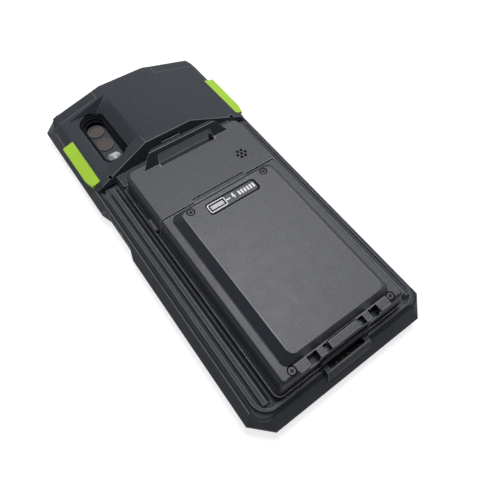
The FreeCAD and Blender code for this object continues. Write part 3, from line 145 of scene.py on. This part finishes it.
def add_floor():
    mesh = bpy.data.meshes.new("floor")
    half = FLOOR_HALF_WIDTH
    corners = [(-half, -half, 0), (half, -half, 0), (half, half, 0), (-half, half, 0)]
    mesh.from_pydata(corners, [], [(0, 1, 2, 3)])
    floor = bpy.data.objects.new("floor", mesh)
    floor.location.z = -FLOOR_DROP
    bpy.context.scene.collection.objects.link(floor)
    material = bpy.data.materials.new("floor")
    material.use_nodes = True
    tree = material.node_tree
    surface = tree.nodes["Principled BSDF"]
    surface.inputs["Base Color"].default_value = FLOOR_COLOUR
    surface.inputs["Roughness"].default_value = 0.9
    surface.inputs["Specular IOR Level"].default_value = 0.0
    glow = tree.nodes.new("ShaderNodeEmission")
    glow.inputs["Color"].default_value = FLOOR_GLOW
    tree.links.new(seen_directly(tree), glow.inputs["Strength"])
    add = tree.nodes.new("ShaderNodeAddShader")
    tree.links.new(surface.outputs["BSDF"], add.inputs[0])
    tree.links.new(glow.outputs["Emission"], add.inputs[1])
    tree.links.new(add.outputs["Shader"], tree.nodes["Material Output"].inputs["Surface"])
    mesh.materials.append(material)


# Materials. Sizes of grain and mottle are in millimetres.

LEVEL_STEP, FOOT_STEP = 0.1, 0.2
MOTTLE_SIZE, GLOSS_SIZE, SPECK_SIZE = 14, 6, 0.6
GLOSS_CHANGE = 0.05
SPECK_DARK, SPECK_LIGHT = 0.75, 1.3


class Shader:
    """A principled material with its nodes at hand."""

    def __init__(self, name):
        self.material = bpy.data.materials.new(name)
        self.material.use_nodes = True
        self.tree = self.material.node_tree
        self.surface = self.tree.nodes["Principled BSDF"]
        texture = self.tree.nodes.new("ShaderNodeTexCoord")
        self.place = texture.outputs["Object"]
        self.facing = texture.outputs["Normal"]

    def constant(self, **values):
        """Set sockets to values that are the same all over the surface."""
        for name, value in values.items():
            socket = self.surface.inputs[name.replace("_", " ")]
            socket.default_value = (*value, 1) if isinstance(value, tuple) else value

    def noise(self, size_mm, detail=2.0, roughness=0.5, stretch=None):
        """A noise texture in the part's own frame, stretched along its axes if asked."""
        vector = self.place
        if stretch:
            mapping = self.tree.nodes.new("ShaderNodeMapping")
            mapping.inputs["Scale"].default_value = stretch
            self.tree.links.new(self.place, mapping.inputs["Vector"])
            vector = mapping.outputs["Vector"]
        node = self.tree.nodes.new("ShaderNodeTexNoise")
        node.inputs["Scale"].default_value = 1 / (size_mm * MM)
        node.inputs["Detail"].default_value = detail
        node.inputs["Roughness"].default_value = roughness
        self.tree.links.new(vector, node.inputs["Vector"])
        return node.outputs["Fac"]

    def span(self, value, low, high, start=0.3, end=0.7):
        """Map a texture value to low at start and high at end."""
        node = self.tree.nodes.new("ShaderNodeMapRange")
        node.inputs["From Min"].default_value = start
        node.inputs["From Max"].default_value = end
        node.inputs["To Min"].default_value = low
        node.inputs["To Max"].default_value = high
        self.tree.links.new(value, node.inputs["Value"])
        return node.outputs["Result"]

    def blend(self, factor, first, second):
        """Mix two colours, each a tuple or a node's output."""
        node = self.tree.nodes.new("ShaderNodeMix")
        node.data_type = "RGBA"
        colours = [socket for socket in node.inputs if socket.type == "RGBA"]
        for socket, colour in zip(colours, (first, second)):
            if isinstance(colour, tuple):
                socket.default_value = (*colour, 1)
            else:
                self.tree.links.new(colour, socket)
        self.tree.links.new(factor, node.inputs["Factor"])
        return next(socket for socket in node.outputs if socket.type == "RGBA")

    def bump(self, height, depth_mm):
        node = self.tree.nodes.new("ShaderNodeBump")
        node.inputs["Distance"].default_value = depth_mm * MM
        node.inputs["Strength"].default_value = 1.0
        self.tree.links.new(height, node.inputs["Height"])
        self.drive("Normal", node.outputs["Normal"])

    def upright(self, vector):
        apart = self.tree.nodes.new("ShaderNodeSeparateXYZ")
        self.tree.links.new(vector, apart.inputs["Vector"])
        return apart.outputs["Z"]

    def product(self, first, second):
        node = self.tree.nodes.new("ShaderNodeMath")
        node.operation = "MULTIPLY"
        self.tree.links.new(first, node.inputs[0])
        self.tree.links.new(second, node.inputs[1])
        return node.outputs["Value"]

    def lit_level_mask(self, low, high, tilt):
        """One on sides that face straight up between two heights in the part's own frame: the mask
        of the painted light from above.
        """
        height = self.upright(self.place)
        above = self.span(height, 0, 1, low * MM, (low + LEVEL_STEP) * MM)
        below = self.span(height, 1, 0, high * MM, (high + LEVEL_STEP) * MM)
        facing = self.span(self.upright(self.facing), 0, 1, *tilt)
        return self.product(facing, self.product(above, below))

    def drive(self, socket, value):
        self.tree.links.new(value, self.surface.inputs[socket])


def shade(colour, factor):
    return tuple(channel * factor for channel in colour)


def plastic(name, colour, roughness, grain_mm=0.25, grain_depth=0.02, mottle=0.06, specular=0.25,
            lit_levels=(), tilt=(0.9, 0.985), foot=None):
    """Moulded plastic: fine grain, slow variation in tone and in gloss.

    lit_levels are lighter, speckled colours for the textured sides that lie level, each with the
    two heights in millimetres that it lies between, and tilt says how level they are: the speckled
    grain is the plastic's own, the lighter tone is painted light from above. foot is a colour for
    the slopes below a height, painted lighter as painted light on the lower flank.
    """
    shader = Shader(name)
    slow = shader.span(shader.noise(MOTTLE_SIZE, detail=4, roughness=0.6), 0, 1)
    tone = shader.blend(slow, shade(colour, 1 - mottle), shade(colour, 1 + mottle))
    # A lighter colour for the slopes below a height: painted light on the lower flank.
    if foot:
        low, height = foot
        below = shader.span(
            shader.upright(shader.place), 1, 0, height * MM, (height + FOOT_STEP) * MM)
        tone = shader.blend(below, tone, low)
    # Level sides get a lighter, speckled colour: painted light from above on a real grain.
    for level, *between in lit_levels:
        speck = shader.span(shader.noise(SPECK_SIZE, detail=3, roughness=0.8), 0, 1)
        grain = shader.blend(speck, shade(level, SPECK_DARK), shade(level, SPECK_LIGHT))
        tone = shader.blend(shader.lit_level_mask(*between, tilt), tone, grain)
    shader.drive("Base Color", tone)
    gloss = shader.noise(GLOSS_SIZE, detail=3)
    shader.drive("Roughness", shader.span(
        gloss, roughness - GLOSS_CHANGE, roughness + GLOSS_CHANGE))
    shader.constant(Specular_IOR_Level=specular)
    shader.bump(shader.noise(grain_mm, detail=2), grain_depth)
    return shader.material


def reflector(name, colour):
    """The flash's ribbed reflector under its clear lens."""
    shader = Shader(name)
    waves = shader.noise(2.2, detail=1, stretch=(1, 0.5, 1))
    ribs = shader.span(waves, 0, 1, start=0.4, end=0.6)
    shader.drive("Base Color", shader.blend(ribs, shade(colour, 0.5), shade(colour, 1.6)))
    shader.drive("Roughness", shader.span(ribs, 0.15, 0.3))
    return shader.material


def metal(name, colour, roughness):
    """Plated metal with a fine grain in its tone, gloss and surface."""
    shader = Shader(name)
    grain = shader.noise(0.4, detail=3)
    tone = shader.blend(shader.span(grain, 0, 1), shade(colour, 0.85), shade(colour, 1.1))
    shader.drive("Base Color", tone)
    shader.drive("Roughness", shader.span(grain, roughness - 0.08, roughness + 0.08))
    shader.constant(Metallic=1.0)
    shader.bump(grain, 0.004)
    return shader.material


def glass(name, colour, roughness):
    shader = Shader(name)
    smears = shader.noise(5)
    shader.drive("Roughness", shader.span(smears, roughness, roughness + 0.04))
    shader.constant(Base_Color=colour, Transmission_Weight=1.0, IOR=1.5)
    return shader.material


MODULE_COLOUR = (0.019, 0.022, 0.031)
MATERIALS = {
    # The case's lighter level tops and lighter foot are painted light.
    "case": plastic("case", (0.024, 0.027, 0.034), 0.5, grain_mm=0.3, specular=0.06,
                    lit_levels=[((0.062, 0.067, 0.076), 0, 40)], tilt=(0.985, 0.997),
                    foot=((0.050, 0.055, 0.064), 11.0)),
    # The case, module and head edge materials are lighter colours for the roundings of sharp edges:
    # painted highlights.
    "case edge highlight": plastic("case edge highlight", (0.14, 0.147, 0.16), 0.4, mottle=0.25),
    "module": plastic("module", MODULE_COLOUR, 0.4, grain_mm=0.22, grain_depth=0.015,
                      specular=0.1),
    "module edge highlight": plastic("module edge highlight", (0.27, 0.275, 0.29), 0.4, mottle=0.25),
    # The panel's and the lid's lighter level colours, set lower on the steps than on the pack's
    # top, are painted light from above.
    "panel": plastic("panel", MODULE_COLOUR, 0.4, grain_mm=0.3, grain_depth=0.03, specular=0.16,
                     lit_levels=[((0.126, 0.129, 0.143), 29.8, 40),
                             ((0.104, 0.107, 0.118), 28, 29.7),
                             ((0.100, 0.103, 0.114), 25.4, 26.2)]),
    "lid": plastic("lid", MODULE_COLOUR, 0.4, grain_mm=0.3, grain_depth=0.03, specular=0.16,
                   lit_levels=[((0.100, 0.103, 0.115), 25.4, 26.2)]),
    # The head's lighter level sides are painted light from above.
    "head": plastic("head", (0.030, 0.034, 0.042), 0.5, grain_mm=0.2, grain_depth=0.012,
                    specular=0.1, lit_levels=[((0.046, 0.051, 0.060), 0, 40)]),
    "head edge highlight": plastic("head edge highlight", (0.15, 0.156, 0.17), 0.4, mottle=0.25),
    "dark": plastic("dark", (0.004, 0.005, 0.006), 0.5, grain_depth=0.01, specular=0.03),
    "lime": plastic("lime", (0.44, 0.72, 0.055), 0.45, grain_depth=0.01, mottle=0.04),
    "grey": plastic("grey", (0.11, 0.113, 0.12), 0.45),
    "seal": plastic("seal", (0.02, 0.02, 0.02), 0.6),
    "board": plastic("board", (0.02, 0.12, 0.06), 0.35, grain_mm=0.6),
    "chip": plastic("chip", (0.02, 0.02, 0.02), 0.45),
    "cell": plastic("cell", (0.06, 0.07, 0.09), 0.35),
    "flex": plastic("flex", (0.07, 0.036, 0.014), 0.4),
    "led": plastic("led", (0.8, 0.8, 0.7), 0.2),
    "ink": plastic("ink", (0.95, 0.96, 0.97), 0.5, mottle=0.02),
    "steel": metal("steel", (0.58, 0.58, 0.6), 0.35),
    "screw": metal("screw", (0.055, 0.055, 0.057), 0.5),
    "spring": metal("spring", (0.6, 0.6, 0.6), 0.3),
    "gold": metal("gold", (0.85, 0.62, 0.25), 0.3),
    # The charge contacts' gold is painted dark: painted shade in their deep slot.
    "shaded gold": metal("shaded gold", (0.16, 0.12, 0.06), 0.5),
    "screen": plastic("screen", (0.006, 0.006, 0.008), 0.06, grain_depth=0.0, specular=0.5),
    "phone": plastic("phone", (0.040, 0.042, 0.048), 0.4, grain_depth=0.005),
    "trim": plastic("trim", (0.10, 0.10, 0.105), 0.35, grain_depth=0.0),
    "lens": plastic("lens", (0.10, 0.075, 0.068), 0.2, grain_depth=0.0, specular=0.3),
    "glass": glass("glass", (0.10, 0.09, 0.12), 0.03),
    "clear": plastic("clear", (0.62, 0.63, 0.64), 0.25, grain_depth=0.0, mottle=0.03),
    "flash": reflector("flash", (0.34, 0.345, 0.36)),
}


# Shells: copies of the CAD solids with their edges rounded. Plain numbers here are in metres.

def add_piece(name, mesh, materials, node, replaced=False):
    """A piece on the same body as a node, which it replaces if asked."""
    piece = bpy.data.objects.new(name, mesh)
    bpy.context.scene.collection.objects.link(piece)
    for material in materials:
        mesh.materials.append(MATERIALS[material])
    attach(piece, nodes[node]["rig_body"])
    if replaced:
        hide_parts(node)


# Turns between two faces: within one flat side, at a sharp edge, at a slight one that is rounded
# between broad sides, across which shading runs on, and at a rounding that gets a painted highlight
FLAT_TURN = math.radians(0.8)
SHARP_TURN = math.radians(38)
SLIGHT_TURN = math.radians(6)
SMOOTH_TURN = math.radians(42)
HIGHLIGHT_TURN = math.radians(10)

BROAD = 2.5 * MM
WELD = 0.002 * MM
TINY = 0.001 * MM
SAME_PLACE_MM = 0.0001
SEGMENTS = 2
LEAST_WIDTH = 0.02 * MM
PROBE_STEP = 1.2 * MM
CORNER_ROOM, FREE_ROOM, SHARED_ROOM = 0.9, 0.9, 0.45
SHARPEST_CORNER = 1.5
WIDTH_GROWTH = 0.3
FOLD_AREA = 0.004 * MM * MM
FOLD_DISTANCE = 0.3 * MM
FOLD_REACH = 0.5 * MM
# The share of their width that edges near a fold keep, tried in turn, by how short the edges are
FOLD_REPAIRS = ((4 * MM, 0.3), (12 * MM, 0.3), (1, 0.3), (1, 0), (0, 0))
Run = namedtuple("Run", "edge start end along inwards length face")


def clean_grid(node):
    """A CAD node's mesh with one face for each flat side, as far as holes allow."""
    grid = bmesh.new()
    grid.from_mesh(nodes[node].data)
    bmesh.ops.remove_doubles(grid, verts=grid.verts, dist=WELD)
    bmesh.ops.dissolve_degenerate(grid, edges=grid.edges, dist=TINY)
    bmesh.ops.dissolve_limit(grid, angle_limit=FLAT_TURN, verts=grid.verts, edges=grid.edges)
    grid.faces.layers.int.new("side")
    grid.edges.layers.float.new("bevel_weight_edge")
    return grid


def number_sides(grid):
    """Give each face the number of the flat side that it lies in."""
    number = grid.faces.layers.int["side"]
    sides = 0
    for first in grid.faces:
        if first[number]:
            continue
        sides += 1
        first[number] = sides
        waiting = [first]
        while waiting:
            for edge in waiting.pop().edges:
                for face in edge.link_faces:
                    if not face[number] and face.normal.angle(first.normal, 1) < FLAT_TURN:
                        face[number] = sides
                        waiting.append(face)
    return number


def outlines_of(grid, number):
    """The runs along the outline of each flat side, by its number."""
    outlines = defaultdict(list)
    for face in grid.faces:
        for corner in face.loops:
            faces = corner.edge.link_faces
            if len(faces) == 2 and faces[0][number] == faces[1][number]:
                continue
            start, end = corner.vert, corner.link_loop_next.vert
            along = end.co - start.co
            length = along.length
            along.normalize()
            outlines[face[number]].append(
                Run(corner.edge, start, end, along, face.normal.cross(along), length, face))
    return outlines


def room_beside(grid, number, wanted):
    """How wide each wanted edge can be rounded, so that it stays clear of the others."""
    room = dict(wanted)
    for outline in outlines_of(grid, number).values():
        if not any(run.edge in room for run in outline):
            continue
        after = {run.start: run for run in outline}
        before = {run.end: run for run in outline}
        start = np.array([run.start.co for run in outline])
        span = np.array([run.end.co for run in outline]) - start
        square = np.maximum((span ** 2).sum(axis=1), 1e-16)
        inwards = np.array([run.inwards for run in outline])
        share = np.array([SHARED_ROOM if run.edge in room else FREE_ROOM for run in outline])
        for run in outline:
            if run.edge not in room:
                continue
            tightness = 0
            for one, other in ((before.get(run.start), run), (run, after.get(run.end))):
                if one and other and one.edge in room and other.edge in room:
                    turn = math.atan2(run.face.normal.dot(one.along.cross(other.along)),
                                      one.along.dot(other.along))
                    tightness += math.tan(max(-SHARPEST_CORNER, min(SHARPEST_CORNER, turn / 2)))
            if tightness > 0:
                room[run.edge] = min(room[run.edge], CORNER_ROOM * run.length / tightness)
            across = np.array(run.inwards)
            opposite = inwards @ across < -0.2
            if not opposite.any():
                continue
            steps = 3 + int(run.length / PROBE_STEP)
            for step in range(steps):
                point = np.array(run.start.co.lerp(run.end.co, (step + 0.5) / steps))
                place = np.clip(((point - start) * span).sum(axis=1) / square, 0, 1)
                gap = start + span * place[:, None] - point
                distance = np.sqrt((gap ** 2).sum(axis=1))
                ahead = opposite & (gap @ across > 0.5 * distance) & (distance > TINY)
                if ahead.any():
                    room[run.edge] = min(room[run.edge], float((distance * share)[ahead].min()))
    return room


def even_out(room):
    """Let the width change only slowly along a run of edges."""
    for _ in range(4):
        for edge in room:
            for vert in edge.verts:
                for other in vert.link_edges:
                    if other is not edge and other in room:
                        apart = (edge.calc_length() + other.calc_length()) / 2
                        room[edge] = min(room[edge], room[other] + WIDTH_GROWTH * apart)
    return room


def bevelled(grid, widths):
    """The mesh with each edge, by its index, rounded by its own width. New faces get material 1."""
    widest = max(widths.values())
    weight = grid.edges.layers.float["bevel_weight_edge"]
    grid.edges.ensure_lookup_table()
    for index, width in widths.items():
        grid.edges[index][weight] = width / widest if width > LEAST_WIDTH else 0
    mesh = bpy.data.meshes.new("work")
    for name in ("work old", "work new"):
        mesh.materials.append(bpy.data.materials.get(name) or bpy.data.materials.new(name))
    for face in grid.faces:
        face.material_index = 0
    grid.to_mesh(mesh)
    grid.free()
    work = bpy.data.objects.new("work", mesh)
    bpy.context.scene.collection.objects.link(work)
    bevel = work.modifiers.new("edges", "BEVEL")
    bevel.limit_method = "WEIGHT"
    bevel.width = widest
    bevel.segments = SEGMENTS
    bevel.use_clamp_overlap = False
    bevel.loop_slide = False
    bevel.material = 1
    result = bpy.data.meshes.new_from_object(
        work.evaluated_get(bpy.context.evaluated_depsgraph_get()))
    bpy.data.objects.remove(work)
    bpy.data.meshes.remove(mesh)
    grid = bmesh.new()
    grid.from_mesh(result)
    bpy.data.meshes.remove(result)
    return grid


def refill_sides(grid):
    """Fill each flat side again from its outline, with triangles that don't cross it."""
    number = grid.faces.layers.int["side"]
    sides = defaultdict(list)
    for face in grid.faces:
        if face.material_index == 0:
            sides[face[number]].append(face)
    for side, faces in sides.items():
        if len(faces) == 1 and len(faces[0].verts) <= 4:
            continue
        normal = sum((face.normal * face.calc_area() for face in faces), Vector()).normalized()
        inside = set(faces)
        rim = [(corner.vert, corner.link_loop_next.vert) for face in faces for corner in face.loops
               if sum(other in inside for other in corner.edge.link_faces) == 1]
        corners = list({vert: None for ends in rim for vert in ends})
        place = {vert: index for index, vert in enumerate(corners)}
        right = normal.orthogonal().normalized()
        up = normal.cross(right)
        flat = [Vector((right.dot(vert.co), up.dot(vert.co))) / MM for vert in corners]
        ends = [(place[start], place[end]) for start, end in rim]
        points, _, triangles, origins, _, _ = delaunay_2d_cdt(flat, ends, [], 0, SAME_PLACE_MM)
        x0, y0, x1, y1 = np.array([(*flat[start], *flat[end]) for start, end in ends]).T
        height = sum(normal.dot(vert.co) for vert in corners) / len(corners)
        bmesh.ops.delete(grid, geom=faces, context="FACES_KEEP_BOUNDARY")
        made = {}
        for triangle in triangles:
            x, y = sum((points[corner] for corner in triangle), Vector((0, 0))) / 3
            left_of = (x1 - x0) * (y - y0) - (x - x0) * (y1 - y0)
            turns = (np.count_nonzero((y0 <= y) & (y1 > y) & (left_of > 0))
                     - np.count_nonzero((y0 > y) & (y1 <= y) & (left_of < 0)))
            if turns < 1:
                continue
            verts = []
            for corner in triangle:
                if origins[corner]:
                    verts.append(corners[origins[corner][0]])
                    continue
                if corner not in made:
                    point = points[corner]
                    made[corner] = grid.verts.new(
                        (right * point.x + up * point.y) * MM + normal * height)
                verts.append(made[corner])
            if len(set(verts)) < 3 or grid.faces.get(verts):
                continue
            face = grid.faces.new(verts)
            face[number] = side
            face.material_index = 0
            face.normal_update()
            if face.normal.dot(normal) < 0:
                face.normal_flip()


def set_normals(mesh, areas):
    """Smooth across shallow turns only, and let a large side keep its own flat shading."""
    number = mesh.attributes["side"].data
    faces = mesh.polygons
    around = defaultdict(list)
    for face in faces:
        weight = areas[face.index]
        for vert in face.vertices:
            around[vert].append((face.normal.copy(), weight))
    limit = math.cos(SMOOTH_TURN)
    normals = []
    for face in faces:
        own = face.normal
        for vert in face.vertices:
            total = Vector()
            for normal, weight in around[vert]:
                if normal.dot(own) > limit:
                    total += normal * weight
            normals.append((total if total.length > 1e-12 else own).normalized())
        face.use_smooth = True
    mesh.normals_split_custom_set(normals)


def breadths(grid, number):
    """Roughly how broad each flat side is, by its number."""
    area, rim = defaultdict(float), defaultdict(float)
    for face in grid.faces:
        area[face[number]] += face.calc_area()
        for edge in face.edges:
            if any(other[number] != face[number] for other in edge.link_faces):
                rim[face[number]] += edge.calc_length()
    return {side: 2 * area[side] / rim[side] if rim[side] else 0 for side in area}


def edges_to_round(grid, number, width_mm, width_of):
    """The sharp edges, and the slight ones between two broad sides, with their widths.

    width_of gives a width of its own for an edge, None for the usual one or nought for none.
    """
    breadth = breadths(grid, number)
    wanted = {}
    for edge in grid.edges:
        if len(edge.link_faces) != 2:
            continue
        turn = edge.calc_face_angle(0)
        broad = min(breadth[face[number]] for face in edge.link_faces) > BROAD
        if turn > SHARP_TURN or (turn > SLIGHT_TURN and broad):
            middle = (edge.verts[0].co + edge.verts[1].co) / (2 * MM)
            own = width_of(middle, turn) if width_of else None
            if own != 0:
                wanted[edge] = (own or width_mm) * MM
    return wanted


def is_highlit_edge(face):
    """Whether a rounding lies on a sharp outer edge, which gets a lighter colour as a painted
    highlight.
    """
    near = {other for vert in face.verts for other in vert.link_faces if other.material_index == 0}
    turns = [face.normal.angle(other.normal, 0) for other in near
             if (other.calc_center_median() - face.calc_center_median()).dot(face.normal) < 0]
    return bool(turns) and max(turns) > HIGHLIGHT_TURN


def folded_places(grid, cad):
    """The corners of faces that turn their back to every part of the CAD surface near by."""
    places = []
    for face in grid.faces:
        if face.calc_area() > FOLD_AREA:
            near = cad.find_nearest_range(face.calc_center_median(), FOLD_DISTANCE)
            if near and max(normal.dot(face.normal) for _, normal, _, _ in near) < -0.1:
                places += [vert.co.copy() for vert in face.verts]
    return places


def lies_near(places, start, end):
    """Whether the line from start to end passes one of the places."""
    for place in places:
        point, share = intersect_point_line(place, start, end)
        point = start if share < 0 else end if share > 1 else point
        if (point - place).length < FOLD_REACH:
            return True
    return False


def rounded_grid(node, width_mm, width_of):
    """A node's mesh with rounded edges, rounded less where it would fold over itself."""
    grid = clean_grid(node)
    number = number_sides(grid)
    wanted = edges_to_round(grid, number, width_mm, width_of)
    widths = even_out(room_beside(grid, number, wanted))
    grid.edges.index_update()
    ends = {edge.index: [vert.co.copy() for vert in edge.verts] for edge in widths}
    widths = {edge.index: width for edge, width in widths.items()}
    cad = BVHTree.FromBMesh(grid)
    for longest, share in FOLD_REPAIRS:
        rounded = bevelled(grid.copy(), widths)
        refill_sides(rounded)
        folds = folded_places(rounded, cad)
        if not folds or not longest:
            break
        rounded.free()
        for index, (start, end) in ends.items():
            if (start - end).length < longest and lies_near(folds, start, end):
                widths[index] *= share
    grid.free()
    return rounded


def rounded_shell(node, materials, slot_name, width_mm, width_of):
    """A piece that replaces a node: its solid with rounded edges, with a painted highlight where
    they are sharp.

    materials names one material, or two, the second for the painted highlight on the sharp edges.
    """
    grid = rounded_grid(node, width_mm, width_of)
    number = grid.faces.layers.int["side"]
    # Roundings on sharp outer edges take the second, lighter material: a painted highlight.
    highlit_faces = {face for face in grid.faces if face.material_index and is_highlit_edge(face)}
    grid.faces.index_update()
    keys = [("new", face.index) if face.material_index else ("side", face[number])
            for face in grid.faces]
    totals = defaultdict(float)
    for face, key in zip(grid.faces, keys):
        totals[key] += face.calc_area() / (MM * MM)
        face.material_index = 1 if face in highlit_faces and len(materials) > 1 else 0
    mesh = bpy.data.meshes.new(node + ".shell")
    grid.to_mesh(mesh)
    grid.free()
    set_normals(mesh, [totals[key] for key in keys])
    add_piece(node + ".shell", mesh, materials, node, replaced=True)


# Width of the rounding at some places, all in millimetres: None is the node's usual one

HEAD_SOFT_X = 12
SPEAKER = (18.35, 4.3)
SPEAKER_PITCH = 1.95
MODULE_TOP = 25.7
PACK_SCREWS = ((17.75, -11.7, 30.0), (23.2, -81.55, 25.55))


def head_widths(middle, turn):
    """The flat's right edge is a broad soft one, its left edge a fine one."""
    return 4.5 if turn < SHARP_TURN and abs(middle.x - HEAD_SOFT_X) < 0.5 else None


def upper_widths(middle, turn):
    """The strap bar's edges are soft, its foot is a small hollow rounding, and holes are crisp."""
    if math.hypot(middle.x - SPEAKER[0], middle.y - SPEAKER[1]) < 3:
        return 0
    if abs(middle.z - MODULE_TOP) < 0.1 and 18 < middle.y < 23 and abs(middle.x) > 13:
        return 0.7
    return 0.45 if middle.z > MODULE_TOP + 0.5 and middle.y > 17 else None


def cover_widths(middle, turn):
    """The edges of the screw seats stay crisp."""
    near = (math.hypot(abs(middle.x) - x, middle.y - y) < 2.0 for x, y, _ in PACK_SCREWS)
    return 0 if any(near) else None


def case_widths(middle, turn):
    """The facets of the case's round corners aren't rounded between them, and their rim little."""
    across, along = abs(middle.x), abs(middle.y)
    if across > 30 and along > 78 and turn < SHARP_TURN:
        return 0
    return 0.08 if across > 34 and along > 84 and middle.z < 11.5 else None


def make_shells():
    # The second material of each pair is the painted highlight on sharp edges.
    case, module = ("case", "case edge highlight"), ("module", "module edge highlight")
    lid, panel, head = ("lid", "module edge highlight"), ("panel", "module edge highlight"), ("head", "head edge highlight")
    for shell in (
        ("case_shell", case, "case", 0.25, case_widths),
        ("front_bezel", case, "case", 0.3, case_widths),
        ("camera_ring", ("dark", "module"), "dark", 0.15, None),
        ("module_base", module, "module", 0.2, None),
        ("upper_housing", lid, "module", 0.25, upper_widths),
        ("battery_cover", panel, "module", 0.25, cover_widths),
        ("battery_tray", module, "module", 0.2, None),
        ("battery_latch", panel, "module", 0.15, None),
        ("head_housing", head, "head", 0.25, head_widths),
        ("scan_bezel", head, "head", 0.2, head_widths),
        ("left_trigger", ("lime",), "lime", 0.25, None),
        ("right_trigger", ("lime",), "lime", 0.25, None),
        ("left_lock", ("grey",), "grey", 0.15, None),
        ("right_lock", ("grey",), "grey", 0.15, None),
    ):
        rounded_shell(*shell)


# Thin marks, all in millimetres: the label's print on the floor of its recess and a painted shadow
# along its wall, the dark rings and crosses of the screws as painted shade, the gauze in the
# speaker's holes and the trim rings of the lenses

LABEL_FLOOR = 29.6


def thin_marks(name, outlines, low, high, material, node):
    """Thin flat marks between two heights on a node, each an outline with a hole or with None."""
    grid = bmesh.new()

    def ring(outline, height):
        return [grid.verts.new((x * MM, y * MM, height * MM)) for x, y in outline]

    def wall(first, second):
        for index in range(len(first)):
            after = (index + 1) % len(first)
            grid.faces.new((first[index], first[after], second[after], second[index]))

    for outer, hole in outlines:
        top, bottom = ring(outer, high), ring(outer, low)
        wall(bottom, top)
        if hole:
            inner_top, inner_bottom = ring(hole, high), ring(hole, low)
            wall(top, inner_top)
            wall(inner_bottom, bottom)
            wall(inner_top, inner_bottom)
        else:
            grid.faces.new(top)
            grid.faces.new(bottom[::-1])
    bmesh.ops.recalc_face_normals(grid, faces=grid.faces)
    mesh = bpy.data.meshes.new(name)
    grid.to_mesh(mesh)
    grid.free()
    add_piece(name, mesh, (material,), node)


def rounded_outline(left, right, low, high, corner, steps=5):
    points = []
    left, right, low, high = left + corner, right - corner, low + corner, high - corner
    for x, y, start in ((right, high, 0), (left, high, 90), (left, low, 180), (right, low, 270)):
        for step in range(steps + 1):
            angle = math.radians(start + 90 * step / steps)
            points.append((x + corner * math.cos(angle), y + corner * math.sin(angle)))
    return points


def upright_bar(left, right, low, high):
    return [(left, low), (right, low), (right, high), (left, high)]


def make_label():
    """A battery's outline round the charge window, a bolt and a row of bars, inside a dark line
    along the recess wall that is a painted shadow.
    """
    rim = rounded_outline(-11.2, -3.15, -16.65, -12.45, 0.75)
    rim_hole = rounded_outline(-10.7, -3.65, -16.15, -12.95, 0.3)
    stub = upright_bar(-3.3, -1.0, -14.95, -14.3)
    bolt = [(0.75, -16.0), (1.55, -14.2), (0.95, -14.35), (1.05, -13.0), (0.4, -13.0), (0.0, -14.8),
            (0.6, -14.65)]
    first, pitch, width = 3.0, 1.4, 0.85
    lefts = [first + pitch * step for step in range(6)]
    bars = [upright_bar(left, left + width, -15.65, -13.55) for left in lefts]
    cover, floor = "battery_cover", LABEL_FLOOR
    thin_marks("label.marks", [(rim, rim_hole)] + [(mark, None) for mark in (stub, bolt, *bars)],
               floor, floor + 0.04, "ink", cover)
    line = rounded_outline(-10.72, -3.63, -16.17, -12.93, 0.3)
    line_hole = rounded_outline(-10.15, -4.25, -15.6, -13.6, 0.1)
    # A dark ring along the recess outline: a painted shadow of the recess wall on the label.
    shadow_line = rounded_outline(-11.93, 12.28, -17.98, -11.72, 1.58)
    shadow_line_hole = rounded_outline(-11.3, 11.4, -17.05, -12.35, 1.0)
    thin_marks("label.frame", [(line, line_hole)],
               floor + 0.12, floor + 0.16, "dark", cover)
    thin_marks("label.shadow_line", [(shadow_line, shadow_line_hole)],
               floor, floor + 0.03, "dark", cover)


def circle(x, y, radius, steps=32):
    return [(x + radius * math.cos(turn), y + radius * math.sin(turn))
            for turn in np.linspace(0, 2 * math.pi, steps, endpoint=False)]


def make_screw_shade_marks():
    """A dark ring round each screw head of the pack, and its cross: painted shade in the gap round
    the head and in its cross recess.
    """
    outer, inner = 1.79, 1.28
    long, short = 0.84, 0.2
    arms = [(short, short), (short, long), (-short, long), (-short, short), (-long, short),
            (-long, -short), (-short, -short), (-short, -long), (short, -long), (short, -short),
            (long, -short), (long, short)]
    for row, (x, y, top) in enumerate(PACK_SCREWS):
        for side in (-1, 1):
            name = "screw%d%s" % (row + 1, "left" if side < 0 else "right")
            ring = (circle(side * x, y, outer), circle(side * x, y, inner))
            cross = [(side * x + across, y + along) for across, along in arms]
            # The ring and the cross are thin dark sheets: painted shade.
            thin_marks(name + ".marks", [ring, (cross, None)], top - 0.1, top + 0.02, "dark",
                       "battery_cover")


def make_openings_marks():
    """Dark gauze in the speaker's holes, and a trim ring round each camera lens."""
    places = [SPEAKER, *circle(*SPEAKER, SPEAKER_PITCH, 6)]
    holes = [(circle(*place, 0.68, 20), None) for place in places]
    thin_marks("speaker.gauze", holes, 25.3, 25.4, "dark", "upper_housing")
    lens_x, lens_rows, outer, inner = -25, (64.9, 55.1), 3.85, 3.2
    rings = [(circle(lens_x, y, outer), circle(lens_x, y, inner)) for y in lens_rows]
    thin_marks("lens.trim", rings, 12.75, 12.8, "trim", "phone_body")


# Nodes with another material than the one that has their slot's name
OWN_MATERIALS = {"phone_body": "phone", "flash_lens": "flash", "charge_contacts": "shaded gold"}


def dress_nodes():
    """Give every node of the frame its procedural material."""
    slots = {part["node"]: part["material_slot"] for part in frame["record"]["subparts"]}
    for name, item in nodes.items():
        item.data.materials.clear()
        item.data.materials.append(MATERIALS[OWN_MATERIALS.get(name, slots[name])])


set_camera()
set_lights()
add_floor()
dress_nodes()
make_shells()
make_label()
make_screw_shade_marks()
make_openings_marks()

bpy.context.scene.view_settings.view_transform = "Standard"
